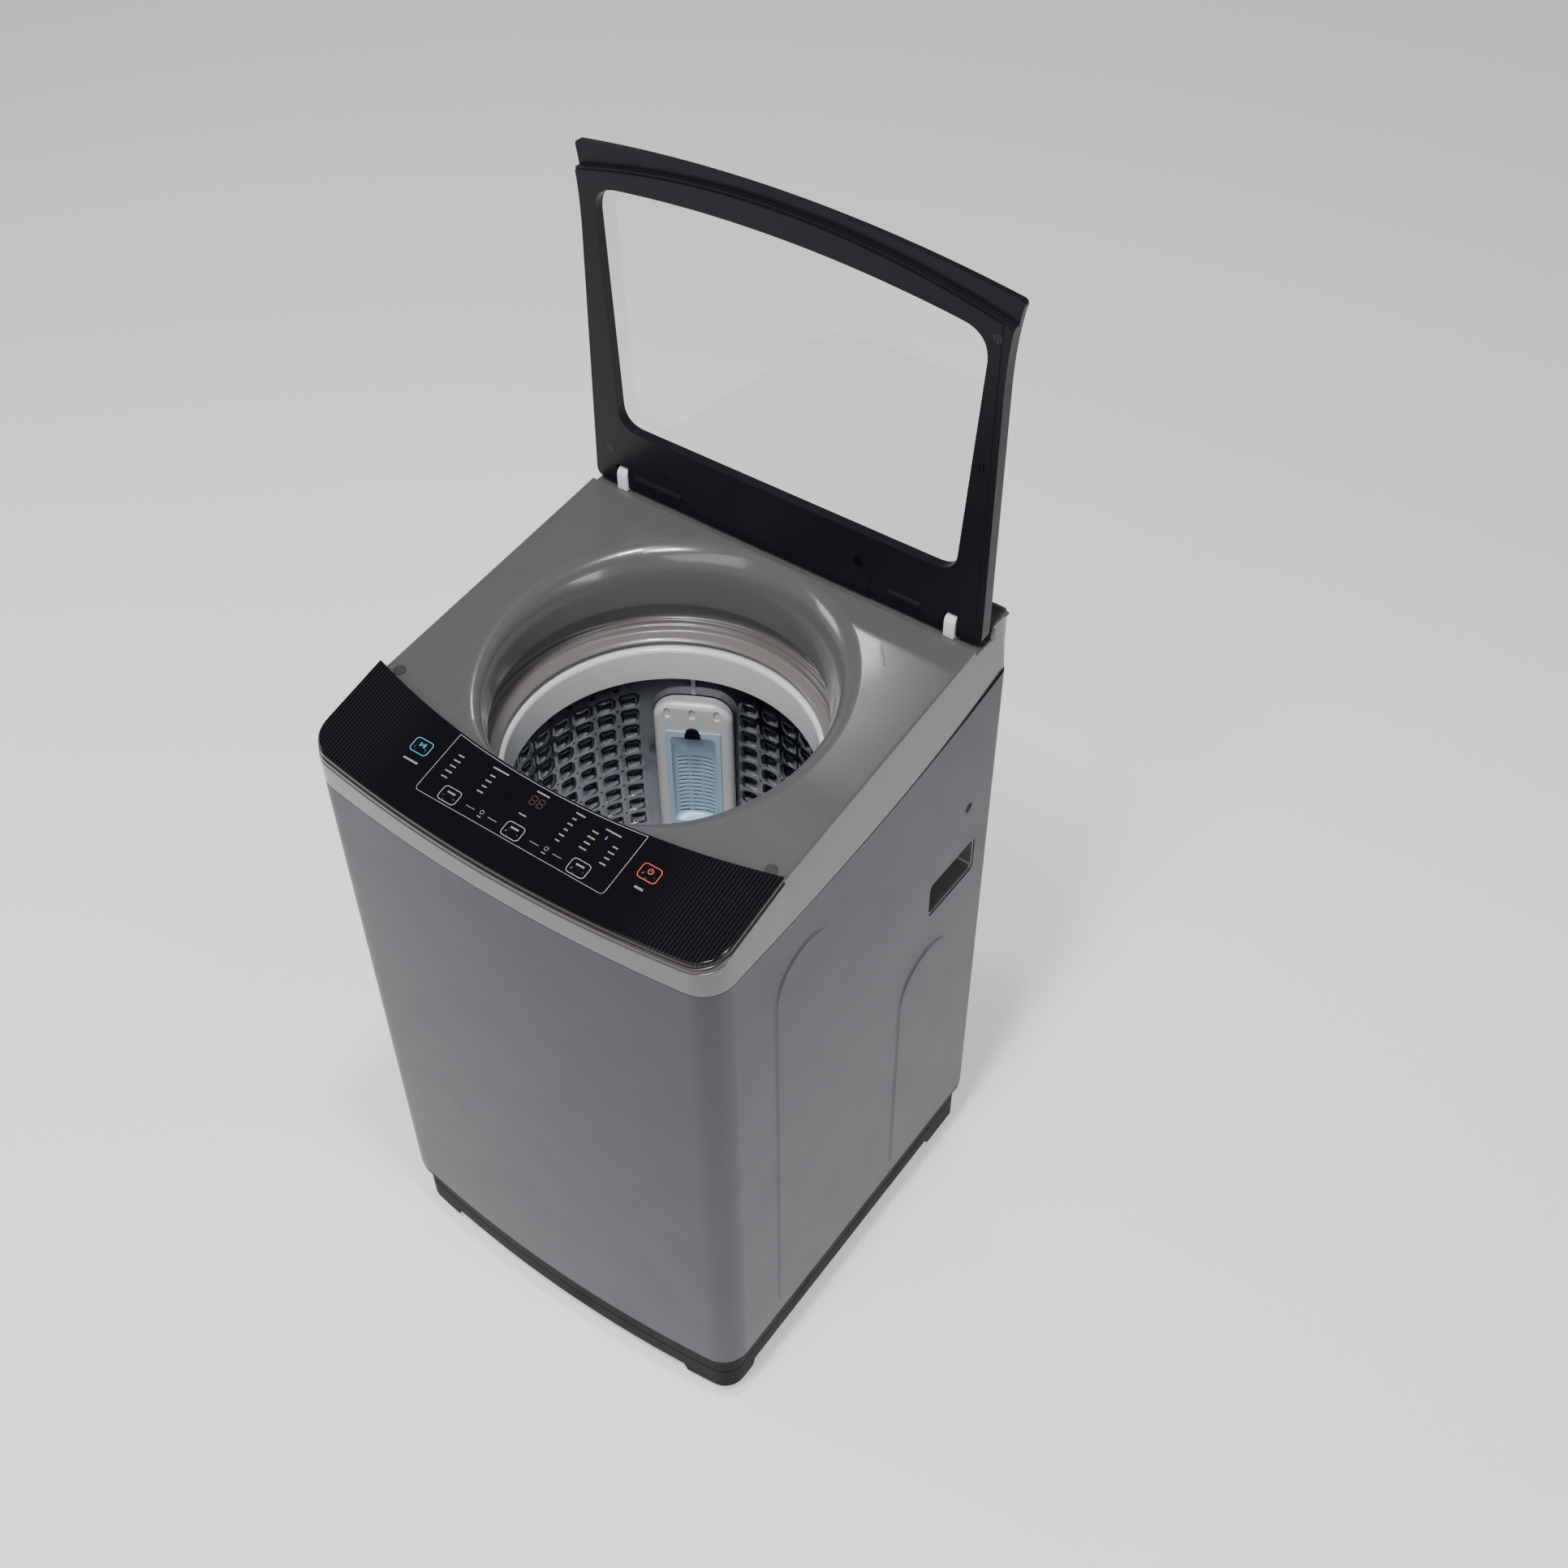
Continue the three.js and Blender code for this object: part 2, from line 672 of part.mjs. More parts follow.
function buildControlPanel() {
  let face = raised(outline(fascia.inset), 0, far)
    .intersect(aheadOfFasciaEdge(0))
    .intersect(fasciaSlab(-fascia.thickness, 0));
  const c = button.clearance;
  for (const [, x, y] of buttons)
    face = face.subtract(
      onPanel(x, y, button.width + 2 * c, button.depth + 2 * c, button.round, -40, 10),
    );
  face = face.subtract(
    onPanel(0, displayFromFront, display.width + 2 * gap, display.depth + 2 * gap, 2,
      -display.thickness - gap, 10),
  );
  part("control_fascia", face, blackGloss);
  part(
    "display_window",
    onPanel(0, displayFromFront, display.width, display.depth, 2, -display.thickness, 0),
    blackGloss,
  );

  const trimTop = -fascia.thickness - gap;
  const ring = raised(outline(trim.inset), 0, far)
    .intersect(aheadOfFasciaEdge(0))
    .subtract(
      raised(outline(trim.inset + trim.ringWidth), 0, far).intersect(
        aheadOfFasciaEdge(-trim.ringWidth),
      ),
    )
    .intersect(fasciaSlab(trimTop - trim.thickness, trimTop));
  part("fascia_trim", ring, bronze);

  const [boardWide, boardDeep, boardThick] = fascia.board;
  part(
    "control_board",
    onPanel(0, boardFromFront, boardWide, boardDeep, 3, -fascia.boardDrop - boardThick, -fascia.boardDrop),
    circuitGreen,
  );
  for (const [name, x, y] of buttons)
    part(
      name,
      onPanel(x, y, button.width, button.depth, button.round, -fascia.thickness, button.proud),
      blackGloss,
    );
}
const boardFromFront = (rowOfButtons.fromFront + endButtons.fromFront) / 2 - 1;

// ---------------------------------------------------------------- lid
// An outline in the lid's plane: level lower edge, sides that spread, bowed upper edge.
function lidOutline(lowerHalf, upperHalf, lower, corner, bow, lowerRound, upperRound) {
  const shoulder = corner + bow * (1 - (1 - upperRound / upperHalf) ** 2);
  const s = new THREE.Shape();
  s.moveTo(lowerRound - lowerHalf, lower);
  s.lineTo(lowerHalf - lowerRound, lower);
  s.quadraticCurveTo(lowerHalf, lower, lowerHalf, lower + lowerRound);
  s.lineTo(upperHalf, corner - upperRound);
  s.quadraticCurveTo(upperHalf, corner, upperHalf - upperRound, shoulder);
  s.quadraticCurveTo(0, 2 * (corner + bow) - shoulder, upperRound - upperHalf, shoulder);
  s.quadraticCurveTo(-upperHalf, corner, -upperHalf, corner - upperRound);
  s.lineTo(-lowerHalf, lower + lowerRound);
  s.quadraticCurveTo(-lowerHalf, lower, lowerRound - lowerHalf, lower);
  return s;
}

function windowOutline(grow) {
  return lidOutline(
    lidLowerHalf - lid.lowerStile + grow,
    lidUpperHalf - lid.upperStile + grow,
    lid.windowLower - grow,
    lidCorner - lid.upperBar + grow,
    lid.windowBow,
    lid.windowRound + grow,
    lid.windowRound + grow,
  );
}

function buildLid() {
  const open = new THREE.Group();
  open.position.set(0, hingeY, hingeZ);
  open.rotation.x = -lid.lean;
  machine.add(open);

  const outlineShape = lidOutline(
    lidLowerHalf,
    lidUpperHalf,
    -lid.lowerEdge,
    lidCorner,
    lid.bow,
    12,
    8,
  );
  // The arc of the fascia's rear edge, carried onto the lid as it closes over it.
  const stretch = Math.cos(cover.slope);
  const edgeCentre = (hingeY - fasciaRearCentre) / stretch;
  const edgeRadius = fascia.rearRadius / stretch - 4;
  const swing = Math.asin((halfWidth + 40) / edgeRadius);
  const lipShape = new THREE.Shape();
  lipShape.moveTo(halfWidth + 40, far);
  lipShape.lineTo(-halfWidth - 40, far);
  lipShape.absarc(0, edgeCentre, edgeRadius, Math.PI / 2 + swing, Math.PI / 2 - swing, true);
  lipShape.closePath();

  const glassSeat = lid.outside - lid.glass - gap;
  let frame = acrossY(outlineShape, -lid.inside, lid.outside)
    .subtract(acrossY(windowOutline(0), -far, far))
    .subtract(acrossY(windowOutline(lid.glassOverlap + gap), glassSeat, far))
    .subtract(acrossY(lipShape, -far, lid.outside - lid.lip, 6));
  for (const [, side] of sides) {
    const x = side * (halfWidth - hinge.fromSide);
    const half = hinge.bracketWidth / 2 + 1.5;
    frame = frame
      .subtract(block([x - half, -far, -far], [x + half, far, hinge.bracketRadius + 3]))
      .subtract(
        alongX(hinge.pinRadius + gap, x - hinge.pinLength / 2 - 1, x + hinge.pinLength / 2 + 1, 0, 0, 16),
      );
  }
  part("lid_frame", frame, blackPlastic, open);
  part(
    "lid_glass",
    acrossY(windowOutline(lid.glassOverlap), lid.outside - lid.glass, lid.outside),
    clearGlass,
    open,
  );
}

function buildHinges() {
  for (const [name, side] of sides) {
    const x = side * (halfWidth - hinge.fromSide);
    const arm = new THREE.Shape();
    arm.moveTo(hingeY - hinge.bracketRadius, troughFloorZ + gap);
    arm.lineTo(hingeY + hinge.bracketRadius, troughFloorZ + gap);
    arm.absarc(hingeY, hingeZ, hinge.bracketRadius, 0, Math.PI);
    arm.closePath();
    const bracket = acrossX(arm, x - hinge.bracketWidth / 2, x + hinge.bracketWidth / 2).subtract(
      alongX(hinge.pinRadius + gap, -far, far, hingeY, hingeZ, 16),
    );
    part("hinge_bracket_" + name, bracket, palePlastic);
    part(
      "hinge_pin_" + name,
      alongX(hinge.pinRadius, x - hinge.pinLength / 2, x + hinge.pinLength / 2, hingeY, hingeZ, 16),
      steel,
    );
  }
}

// ---------------------------------------------------------------- tub and its suspension
function buildTub() {
  let bowl = turnedRing([
    [tub.shaftHole, tubBottomZ],
    [tubOuter - 10, tubBottomZ],
    [tubOuter, tubBottomZ + 10],
    [tubOuter, tubTopZ - tub.rim],
    [tubOuter + tub.rim, tubTopZ - tub.rim],
    [tubOuter + tub.rim, tubTopZ],
    [tubInner, tubTopZ],
    [tubInner, tubFloorTopZ + 8],
    [tubInner - 8, tubFloorTopZ],
    [tub.shaftHole, tubFloorTopZ],
  ]);
  for (const [, sx, sy] of corners) {
    const reach = Math.hypot(rodX, rodY);
    const turn = new THREE.Matrix4().makeRotationZ(Math.atan2(sy * rodY, sx * rodX));
    const arm = block([tubInner + 1, -16, lugLowZ], [reach + 10, 16, lugTopZ]);
    bowl = bowl
      .add(moved(arm, turn))
      .subtract(upright(suspension.rod + 2, lugLowZ - 5, lugTopZ + 5, sx * rodX, sy * rodY));
  }
  part("outer_tub", bowl, tubPlastic);

  const rim = tubTopZ + gap;
  part(
    "tub_cover",
    turnedRing([
      [tubOuter + tub.rim, rim],
      [tubOuter + tub.rim, rim + 8],
      [balanceOuter + 5, rim + 11],
      [balanceOuter + 4, rim + 46],
      [balanceOuter + 1, rim + 46],
      [balanceOuter - 1, rim + 24],
      [balanceOuter - 9, rim + 20],
      [balanceOuter - 11, rim + 12],
      [balanceInner + 5, rim + 4.5],
      [balanceInner + 5, rim + 1.5],
      [balanceOuter - 4, rim + 6],
      [tubInner, rim],
    ]),
    ringPlastic,
  );

  for (const [name, sx, sy] of corners) {
    const [x, y] = [sx * rodX, sy * rodY];
    const reach = suspension.hanger;
    const hanger = block([x - reach, y - reach, hangerZ], [
      x + reach,
      y + reach,
      hangerZ + suspension.hangerThickness,
    ]).intersect(raised(outline(cabinet.sheet * 2 + 2 * gap), 0, far));
    const cupLow = cupTopZ - suspension.cupHeight;
    const rod = hanger
      .add(upright(suspension.rod, cupLow, hangerZ + 1, x, y, 12))
      .add(upright(suspension.cup, cupLow, cupTopZ, x, y));
    part("suspension_rod_" + name, rod, zincSteel);
    const coil = upright(suspension.springOuter, cupTopZ + gap, lugLowZ - gap, x, y).subtract(
      upright(suspension.springInner, 0, far, x, y),
    );
    part("suspension_spring_" + name, coil, zincSteel);
  }
}

// ---------------------------------------------------------------- drum, filter and pulsator
function buildDrum() {
  const outer = drum.radius + drum.sheet;
  part(
    "drum_basket",
    turnedRing([
      [drum.centreHole, drumFloorZ],
      [outer - 12, drumFloorZ],
      [outer, drumFloorZ + 12],
      [outer, drumTopZ],
      [drum.radius, drumTopZ],
      [drum.radius, drumFloorZ + 12.5],
      [drum.radius - 11.5, drumFloorZ + drum.sheet],
      [drum.centreHole, drumFloorZ + drum.sheet],
    ]),
    steel,
  );
  part(
    "balance_ring",
    turnedRing([
      [balanceInner, drumTopZ + gap],
      [balanceOuter, drumTopZ + gap],
      [balanceOuter, balanceTopZ - 4],
      [balanceOuter - 4, balanceTopZ],
      [balanceInner + 3, balanceTopZ],
      [balanceInner, balanceTopZ - 3],
    ]),
    palePlastic,
  );
  const hubTop = drumFloorZ - gap;
  const hubLow = hubTop - 13;
  let hub = upright(110, hubLow, hubTop, 0, 0, 36);
  for (let i = 0; i < 3; i++) {
    const turn = new THREE.Matrix4().makeRotationZ((i * 2 * Math.PI) / 3);
    hub = hub.add(moved(block([90, -22, hubLow], [outer - 14, 22, hubTop]), turn));
  }
  part("drum_flange", hub.subtract(upright(shaft.tubeOuter + gap, 0, far)), castAlloy);
  part(
    "spin_tube",
    upright(shaft.tubeOuter, gearboxTopZ - 60, drumFloorZ + 1).subtract(
      upright(shaft.tubeInner, 0, far),
    ),
    steel,
  );
}

function buildFilter() {
  const onWall = new THREE.Group();
  onWall.rotation.z = tower.angle;
  machine.add(onWall);
  const lowZ = drumFloorZ + drum.sheet + 2;
  const back = drum.radius * Math.cos(Math.PI / roundSides) - 2 * gap;
  const face = new THREE.Shape();
  face.moveTo(-tower.halfWidth, lowZ);
  face.lineTo(tower.halfWidth, lowZ);
  face.absarc(tower.halfWidth - tower.round, towerTopZ - tower.round, tower.round, 0, Math.PI / 2);
  face.absarc(tower.round - tower.halfWidth, towerTopZ - tower.round, tower.round, Math.PI / 2, Math.PI);
  face.closePath();
  const pocketHalf = filter.basketHalf + 1;
  const pocketBack = towerFace + filter.basketDepth + 2;
  const housing = acrossY(face, towerFace, far)
    .intersect(upright(back, drumFloorZ + 13, far, 0, 0, roundSides).add(
      upright(back - 14, 0, far, 0, 0, roundSides)))
    .subtract(
      block(
        [-pocketHalf, 0, filterLowZ + 3],
        [pocketHalf, pocketBack, filterTopZ - 4 + filter.clearance],
      ),
    );
  part("filter_tower", housing, palePlastic, onWall);

  const plateFront = towerFace - gap - filter.plate;
  const basketBack = towerFace + filter.basketDepth;
  const inner = filter.basketHalf - filter.basketWall;
  const screen = block(
    [-filter.halfWidth, plateFront, filterLowZ],
    [filter.halfWidth, towerFace - gap, filterTopZ],
  )
    .add(
      block([-filter.basketHalf, plateFront, filterLowZ + 4], [
        filter.basketHalf,
        basketBack,
        filterTopZ - 4,
      ]),
    )
    .subtract(
      block([-inner, towerFace - gap, filterLowZ + 6], [inner, far, filterTopZ - 6]),
    );
  part("lint_filter", screen, filterBlue, onWall);
  part(
    "filter_latch",
    block(
      [-latch.halfWidth, plateFront - gap - latch.thickness, filterTopZ + latch.above - latch.height],
      [latch.halfWidth, plateFront - gap, filterTopZ + latch.above],
    ),
    darkPlastic,
    onWall,
  );
}

function buildPulsator() {
  const low = drumFloorZ + drum.sheet + 2;
  const top = low + pulsator.dome;
  let disc = turned([
    [0, low],
    [pulsatorRadius - 4, low],
    [pulsatorRadius, low + pulsator.rim],
    [pulsatorRadius - 6, low + pulsator.rim + 4],
    [70, low + 12],
    [36, low + 20],
    [26, top],
    [0, top],
  ]);
  for (let i = 0; i < pulsator.vaneCount; i++) {
    const turn = new THREE.Matrix4().makeRotationZ(((i + 0.5) * 2 * Math.PI) / pulsator.vaneCount);
    const vane = acrossY(
      polygon([
        [10, low + 2],
        [pulsatorRadius - 8, low + 2],
        [pulsatorRadius - 14, low + 12],
        [pulsatorRadius - 50, low + pulsator.vaneHeight],
        [28, low + pulsator.vaneHeight + 4],
        [10, low + pulsator.vaneHeight],
      ]),
      -pulsator.vaneWidth / 2,
      pulsator.vaneWidth / 2,
    );
    disc = disc.add(moved(vane, turn));
  }
  const seat = top - 4;
  disc = disc
    .subtract(upright(14, seat, far))
    .subtract(upright(shaft.radius + gap, 0, seat - 4));
  part("pulsator", disc, palePlastic);
  part(
    "pulsator_cap",
    turned(
      [
        [0, seat + gap],
        [13.5, seat + gap],
        [13.5, top],
        [9, top + 3],
        [0, top + 4],
      ],
      24,
    ),
    coverPlastic,
  );
  part("agitator_shaft", upright(shaft.radius, gearboxLowZ + 2, seat - 4 - gap), steel);
}

// ---------------------------------------------------------------- drive
function grooved(radius, flange, width, top) {
  return turned(
    [
      [0, top - width],
      [radius + flange, top - width],
      [radius + flange, top - width + 3],
      [radius, top - width + 3],
      [radius, top - 3],
      [radius + flange, top - 3],
      [radius + flange, top],
      [0, top],
    ],
    30,
  );
}

// The loop round two pulleys whose axes lie on Y, as a plan outline.
function beltLoop(grow) {
  const large = pulley.radius + grow;
  const small = motor.pulleyRadius + grow;
  const wrap = Math.asin((large - small) / motor.distance);
  const s = new THREE.Shape();
  s.absarc(0, 0, large, Math.PI - wrap, 2 * Math.PI + wrap);
  s.absarc(0, motor.distance, small, wrap, Math.PI - wrap);
  s.closePath();
  return s;
}

function buildDrive() {
  const holes = upright(tub.shaftHole, 0, far);
  const mount = block([-plate.long / 2, -plate.wide / 2, plateLowZ], [
    plate.long / 2,
    plate.wide / 2,
    plateTopZ,
  ]).add(
    block([-plate.wide / 2, -plate.frontReach, plateLowZ], [plate.wide / 2, plate.motorReach, plateTopZ]),
  );
  part("mounting_plate", mount.subtract(holes), zincSteel);
  const caseLow = gearboxTopZ - gearbox.height;
  part(
    "gearbox_housing",
    turnedRing([
      [gearbox.bore, gearboxLowZ],
      [gearbox.neck, gearboxLowZ],
      [gearbox.neck, caseLow],
      [gearbox.radius - 6, caseLow],
      [gearbox.radius, caseLow + 6],
      [gearbox.radius, gearboxTopZ - 14],
      [gearbox.radius - 15, gearboxTopZ - 8],
      [gearbox.radius - 15, gearboxTopZ],
      [gearbox.bore, gearboxTopZ],
    ]),
    castAlloy,
  );
  part(
    "drive_pulley",
    grooved(pulley.radius, pulley.flange, pulley.width, pulleyTopZ).add(
      upright(shaft.radius, pulleyTopZ - 1, gearboxLowZ - 1),
    ),
    castAlloy,
  );
  const beltTop = pulleyTopZ - (pulley.width - belt.width) / 2;
  const loop = raised(
    beltLoop(belt.clearance + belt.thickness),
    beltTop - belt.width,
    beltTop,
    9,
  ).subtract(raised(beltLoop(belt.clearance), 0, far, 9));
  part("drive_belt", loop, rubber);

  const motorY = motor.distance;
  const motorTop = gearboxTopZ;
  const bodyTop = motorTop - 16;
  const bodyLow = bodyTop - motor.body;
  const housing = upright(motor.radius, bodyLow, bodyTop, 0, motorY, 32)
    .add(upright(motor.neck, bodyTop - 1, motorTop, 0, motorY))
    .subtract(upright(motor.shaft + 1, 0, bodyLow + 22, 0, motorY));
  part("motor", housing, zincSteel);
  const place = new THREE.Matrix4().makeTranslation(0, motorY, 0);
  const small = grooved(motor.pulleyRadius, pulley.flange, pulley.width, pulleyTopZ);
  part(
    "motor_pulley",
    moved(small, place).add(upright(motor.shaft, pulleyTopZ - 1, bodyLow + 18, 0, motorY)),
    steel,
  );

  const valveTop = plateTopZ;
  const valveMiddle = valveTop - drain.height + drain.spigot + 4;
  part(
    "drain_valve",
    upright(drain.radius, valveTop - drain.height, valveTop, drain.x, drain.y, 24).add(
      alongX(drain.spigot, drain.x, drain.x + drain.reach, drain.y, valveMiddle),
    ),
    valveWhite,
  );
}

buildCabinet();
buildBase();
buildTopCover();
buildInletAndSensor();
buildControlPanel();
buildLid();
buildHinges();
buildTub();
buildDrum();
buildFilter();
buildPulsator();
buildDrive();

export default machine;
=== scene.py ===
"""Top-load washing machine with its lid standing open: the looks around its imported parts.

Lengths are metres in the machine's own frame: +X to its right, +Y to its rear, +Z up, with the origin on
the floor under its centre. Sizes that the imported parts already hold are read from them.
"""

from __future__ import annotations

import json
import logging
import math
from collections.abc import Callable, Iterator, Sequence
from contextlib import contextmanager
from dataclasses import dataclass, field
from enum import Enum

import bpy
from mathutils import Matrix, Vector

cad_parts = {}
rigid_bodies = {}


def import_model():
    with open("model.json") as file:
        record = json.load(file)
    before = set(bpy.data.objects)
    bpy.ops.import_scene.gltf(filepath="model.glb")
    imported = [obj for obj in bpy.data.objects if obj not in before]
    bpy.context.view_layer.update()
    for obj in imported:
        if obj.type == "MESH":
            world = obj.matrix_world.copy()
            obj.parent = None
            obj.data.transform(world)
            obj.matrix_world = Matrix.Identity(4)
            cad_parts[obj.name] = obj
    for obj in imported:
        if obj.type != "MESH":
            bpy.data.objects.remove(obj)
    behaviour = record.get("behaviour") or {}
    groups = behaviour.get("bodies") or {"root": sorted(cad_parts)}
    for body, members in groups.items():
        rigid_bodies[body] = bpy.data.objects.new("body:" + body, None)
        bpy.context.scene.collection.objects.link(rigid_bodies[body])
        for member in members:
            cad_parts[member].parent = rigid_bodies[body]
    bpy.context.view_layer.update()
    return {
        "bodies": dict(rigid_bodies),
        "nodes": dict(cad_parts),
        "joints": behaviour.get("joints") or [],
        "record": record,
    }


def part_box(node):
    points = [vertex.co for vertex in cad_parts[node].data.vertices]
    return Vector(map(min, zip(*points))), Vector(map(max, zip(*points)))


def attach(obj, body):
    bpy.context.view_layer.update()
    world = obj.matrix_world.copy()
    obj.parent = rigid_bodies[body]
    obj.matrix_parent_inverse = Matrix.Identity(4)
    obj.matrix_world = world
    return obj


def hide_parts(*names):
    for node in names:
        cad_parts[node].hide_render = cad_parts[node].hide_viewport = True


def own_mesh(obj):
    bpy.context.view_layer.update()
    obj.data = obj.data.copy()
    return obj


Point = tuple[float, float]
Colour = tuple[float, float, float]
MM = 0.001
TOWER_TURN = math.radians(28.6)  # the filter tower's place round the drum, from the rear to the left
LOG = logging.getLogger("washing_machine")


# ---------------------------------------------------------------- outlines
class Drawn(Enum):
    """The plane that an outline is drawn in, as the frame that carries it there."""

    PLAN = Matrix.Identity(4)
    SIDE = Matrix(((0, 0, 1, 0), (1, 0, 0, 0), (0, 1, 0, 0), (0, 0, 0, 1)))
    FRONT = Matrix(((1, 0, 0, 0), (0, 0, -1, 0), (0, 1, 0, 0), (0, 0, 0, 1)))


def arc(centre: Point, radius: float, start: float, end: float, steps: int) -> list[Point]:
    """Points along an arc, from one angle to another.

    Args:
        centre: The arc's centre.
        radius: Its radius.
        start: First angle, in degrees.
        end: Last angle, in degrees.
        steps: Number of chords.

    Returns:
        The points, both ends among them.
    """
    turns = [math.radians(start + (end - start) * i / steps) for i in range(steps + 1)]
    return [(centre[0] + radius * math.cos(t), centre[1] + radius * math.sin(t)) for t in turns]


def rounded_box(low: Point, high: Point, radius: float, steps: int = 6) -> list[Point]:
    """A rectangle's outline with round corners.

    Args:
        low: Lowest corner.
        high: Highest corner.
        radius: Corner radius.
        steps: Chords in each corner.

    Returns:
        The outline, anticlockwise.
    """
    r = radius
    return [
        *arc((high[0] - r, high[1] - r), r, 0, 90, steps),
        *arc((low[0] + r, high[1] - r), r, 90, 180, steps),
        *arc((low[0] + r, low[1] + r), r, 180, 270, steps),
        *arc((high[0] - r, low[1] + r), r, 270, 360, steps),
    ]


def bent(start: Point, pull: Point, end: Point, steps: int) -> list[Point]:
    """Points on a quadratic curve, without its last one.

    Args:
        start: First point.
        pull: The point that bends the curve.
        end: Last point.
        steps: Number of chords.

    Returns:
        The points from start up to the one before end.
    """
    shares = [i / steps for i in range(steps)]
    return [
        tuple((1 - t) ** 2 * a + 2 * t * (1 - t) * b + t * t * c for a, b, c in zip(start, pull, end))
        for t in shares
    ]


def softened(keys: Sequence[tuple[float, float, float]], steps: int = 3) -> list[Point]:
    """Rounds the inner corners of a line.

    Args:
        keys: The line's points, each with the length that its rounding takes from both sides.
        steps: Chords in each rounding.

    Returns:
        The line, with as many points whatever the lengths are.
    """
    points = [Vector(k[:2]) for k in keys]
    line, held, before = [tuple(points[0])], 0, points[0]
    for i in range(1, len(keys) - 1):
        here = points[i]
        if (points[i + 1] - here).length < 1e-9:
            held += steps + 1
            continue
        ends = []
        for other in (before, points[i + 1]):
            away = other - here
            ends.append(tuple(here + away * min(keys[i][2] / away.length, 0.5)))
        line += [ends[0]] * held + bent(ends[0], tuple(here), ends[1], steps) + [ends[1]]
        held, before = 0, here
    return line + [tuple(points[-1])]


# ---------------------------------------------------------------- the bench
class Bench:
    """The modelling bench: tools that work on one object at a time."""

    @staticmethod
    def take(piece: bpy.types.Object) -> None:
        """Makes a piece the only selected and active one."""
        if bpy.context.mode != "OBJECT":
            bpy.ops.object.mode_set(mode="OBJECT")
        bpy.ops.object.select_all(action="DESELECT")
        piece.select_set(True)
        bpy.context.view_layer.objects.active = piece

    @staticmethod
    @contextmanager
    def editing(piece: bpy.types.Object, kind: str = "FACE", everything: bool = True) -> Iterator[None]:
        """Opens a piece in edit mode.

        Args:
            piece: The piece.
            kind: What is selected: VERT, EDGE or FACE.
            everything: Selects all of it.

        Yields:
            Nothing, while edit mode lasts.
        """
        Bench.take(piece)
        bpy.ops.object.mode_set(mode="EDIT")
        bpy.ops.mesh.select_mode(type=kind)
        if everything:
            bpy.ops.mesh.select_all(action="SELECT")
        yield
        bpy.ops.object.mode_set(mode="OBJECT")

    @staticmethod
    def pick_faces(piece: bpy.types.Object, test: Callable[[Vector, Vector], bool]) -> int:
        """Selects the faces whose middle and normal pass a test.

        Args:
            piece: The piece.
            test: Takes a face's middle and normal.

        Returns:
            How many faces are selected.
        """
        with Bench.editing(piece):
            bpy.ops.mesh.select_all(action="DESELECT")
        found = 0
        for face in piece.data.polygons:
            face.select = test(face.center, face.normal)
            found += face.select
        return found

    @staticmethod
    def prism(
        outline: Sequence[Point], low: float, high: float, drawn: Drawn = Drawn.PLAN
    ) -> bpy.types.Object:
        """Draws a closed outline and extrudes it.

        Args:
            outline: Points in the plane that it is drawn in.
            low: Where the extrusion starts.
            high: Where it ends. Both are measured along Z, X or -Y for a plan, side or front outline.
            drawn: The plane.

        Returns:
            The prism.
        """
        bpy.ops.object.select_all(action="DESELECT")
        bpy.ops.mesh.primitive_circle_add(vertices=len(outline), fill_type="NGON")
        piece = bpy.context.object
        for vertex, (x, y) in zip(piece.data.vertices, outline):
            vertex.co = (x, y, low)
        with Bench.editing(piece):
            bpy.ops.mesh.extrude_region_move(TRANSFORM_OT_translate={"value": (0, 0, high - low)})
            bpy.ops.mesh.select_all(action="SELECT")
            bpy.ops.mesh.normals_make_consistent(inside=False)
        piece.data.transform(drawn.value)
        return piece

    @staticmethod
    def turned(section: Sequence[Point], steps: int = 96) -> bpy.types.Object:
        """Spins a closed section of (radius, height) points round the vertical axis.

        Args:
            section: The section's outline.
            steps: Steps in the full turn.

        Returns:
            The turned piece.
        """
        bpy.ops.object.select_all(action="DESELECT")
        bpy.ops.mesh.primitive_circle_add(vertices=len(section), fill_type="NOTHING")
        piece = bpy.context.object
        for vertex, (radius, height) in zip(piece.data.vertices, section):
            vertex.co = (radius, 0, height)
        with Bench.editing(piece, "EDGE"):
            bpy.ops.mesh.spin(steps=steps, angle=2 * math.pi, center=(0, 0, 0), axis=(0, 0, 1))
        Bench.closed(piece)
        return piece

    @staticmethod
    def closed(piece: bpy.types.Object, reach: float = 1e-6) -> None:
        """Merges a piece's doubles and turns its faces outwards."""
        with Bench.editing(piece, "VERT"):
            bpy.ops.mesh.remove_doubles(threshold=reach)
            bpy.ops.mesh.dissolve_degenerate(threshold=1e-7)
            bpy.ops.mesh.select_all(action="SELECT")
            bpy.ops.mesh.normals_make_consistent(inside=False)

    @staticmethod
    def mapped(columns: int, rows: int, place: Callable[[int, int], Sequence[float]]) -> bpy.types.Object:
        """Lays a grid over a surface.

        Args:
            columns: Faces across the grid.
            rows: Faces along it.
            place: Gives the point of a column and row.

        Returns:
            The surface, still open.
        """
        bpy.ops.object.select_all(action="DESELECT")
        bpy.ops.mesh.primitive_grid_add(x_subdivisions=columns, y_subdivisions=rows, size=2)
        piece = bpy.context.object
        for vertex in piece.data.vertices:
            column = round((vertex.co.x + 1) / 2 * columns)
            row = round((vertex.co.y + 1) / 2 * rows)
            vertex.co = place(column, row)
        return piece

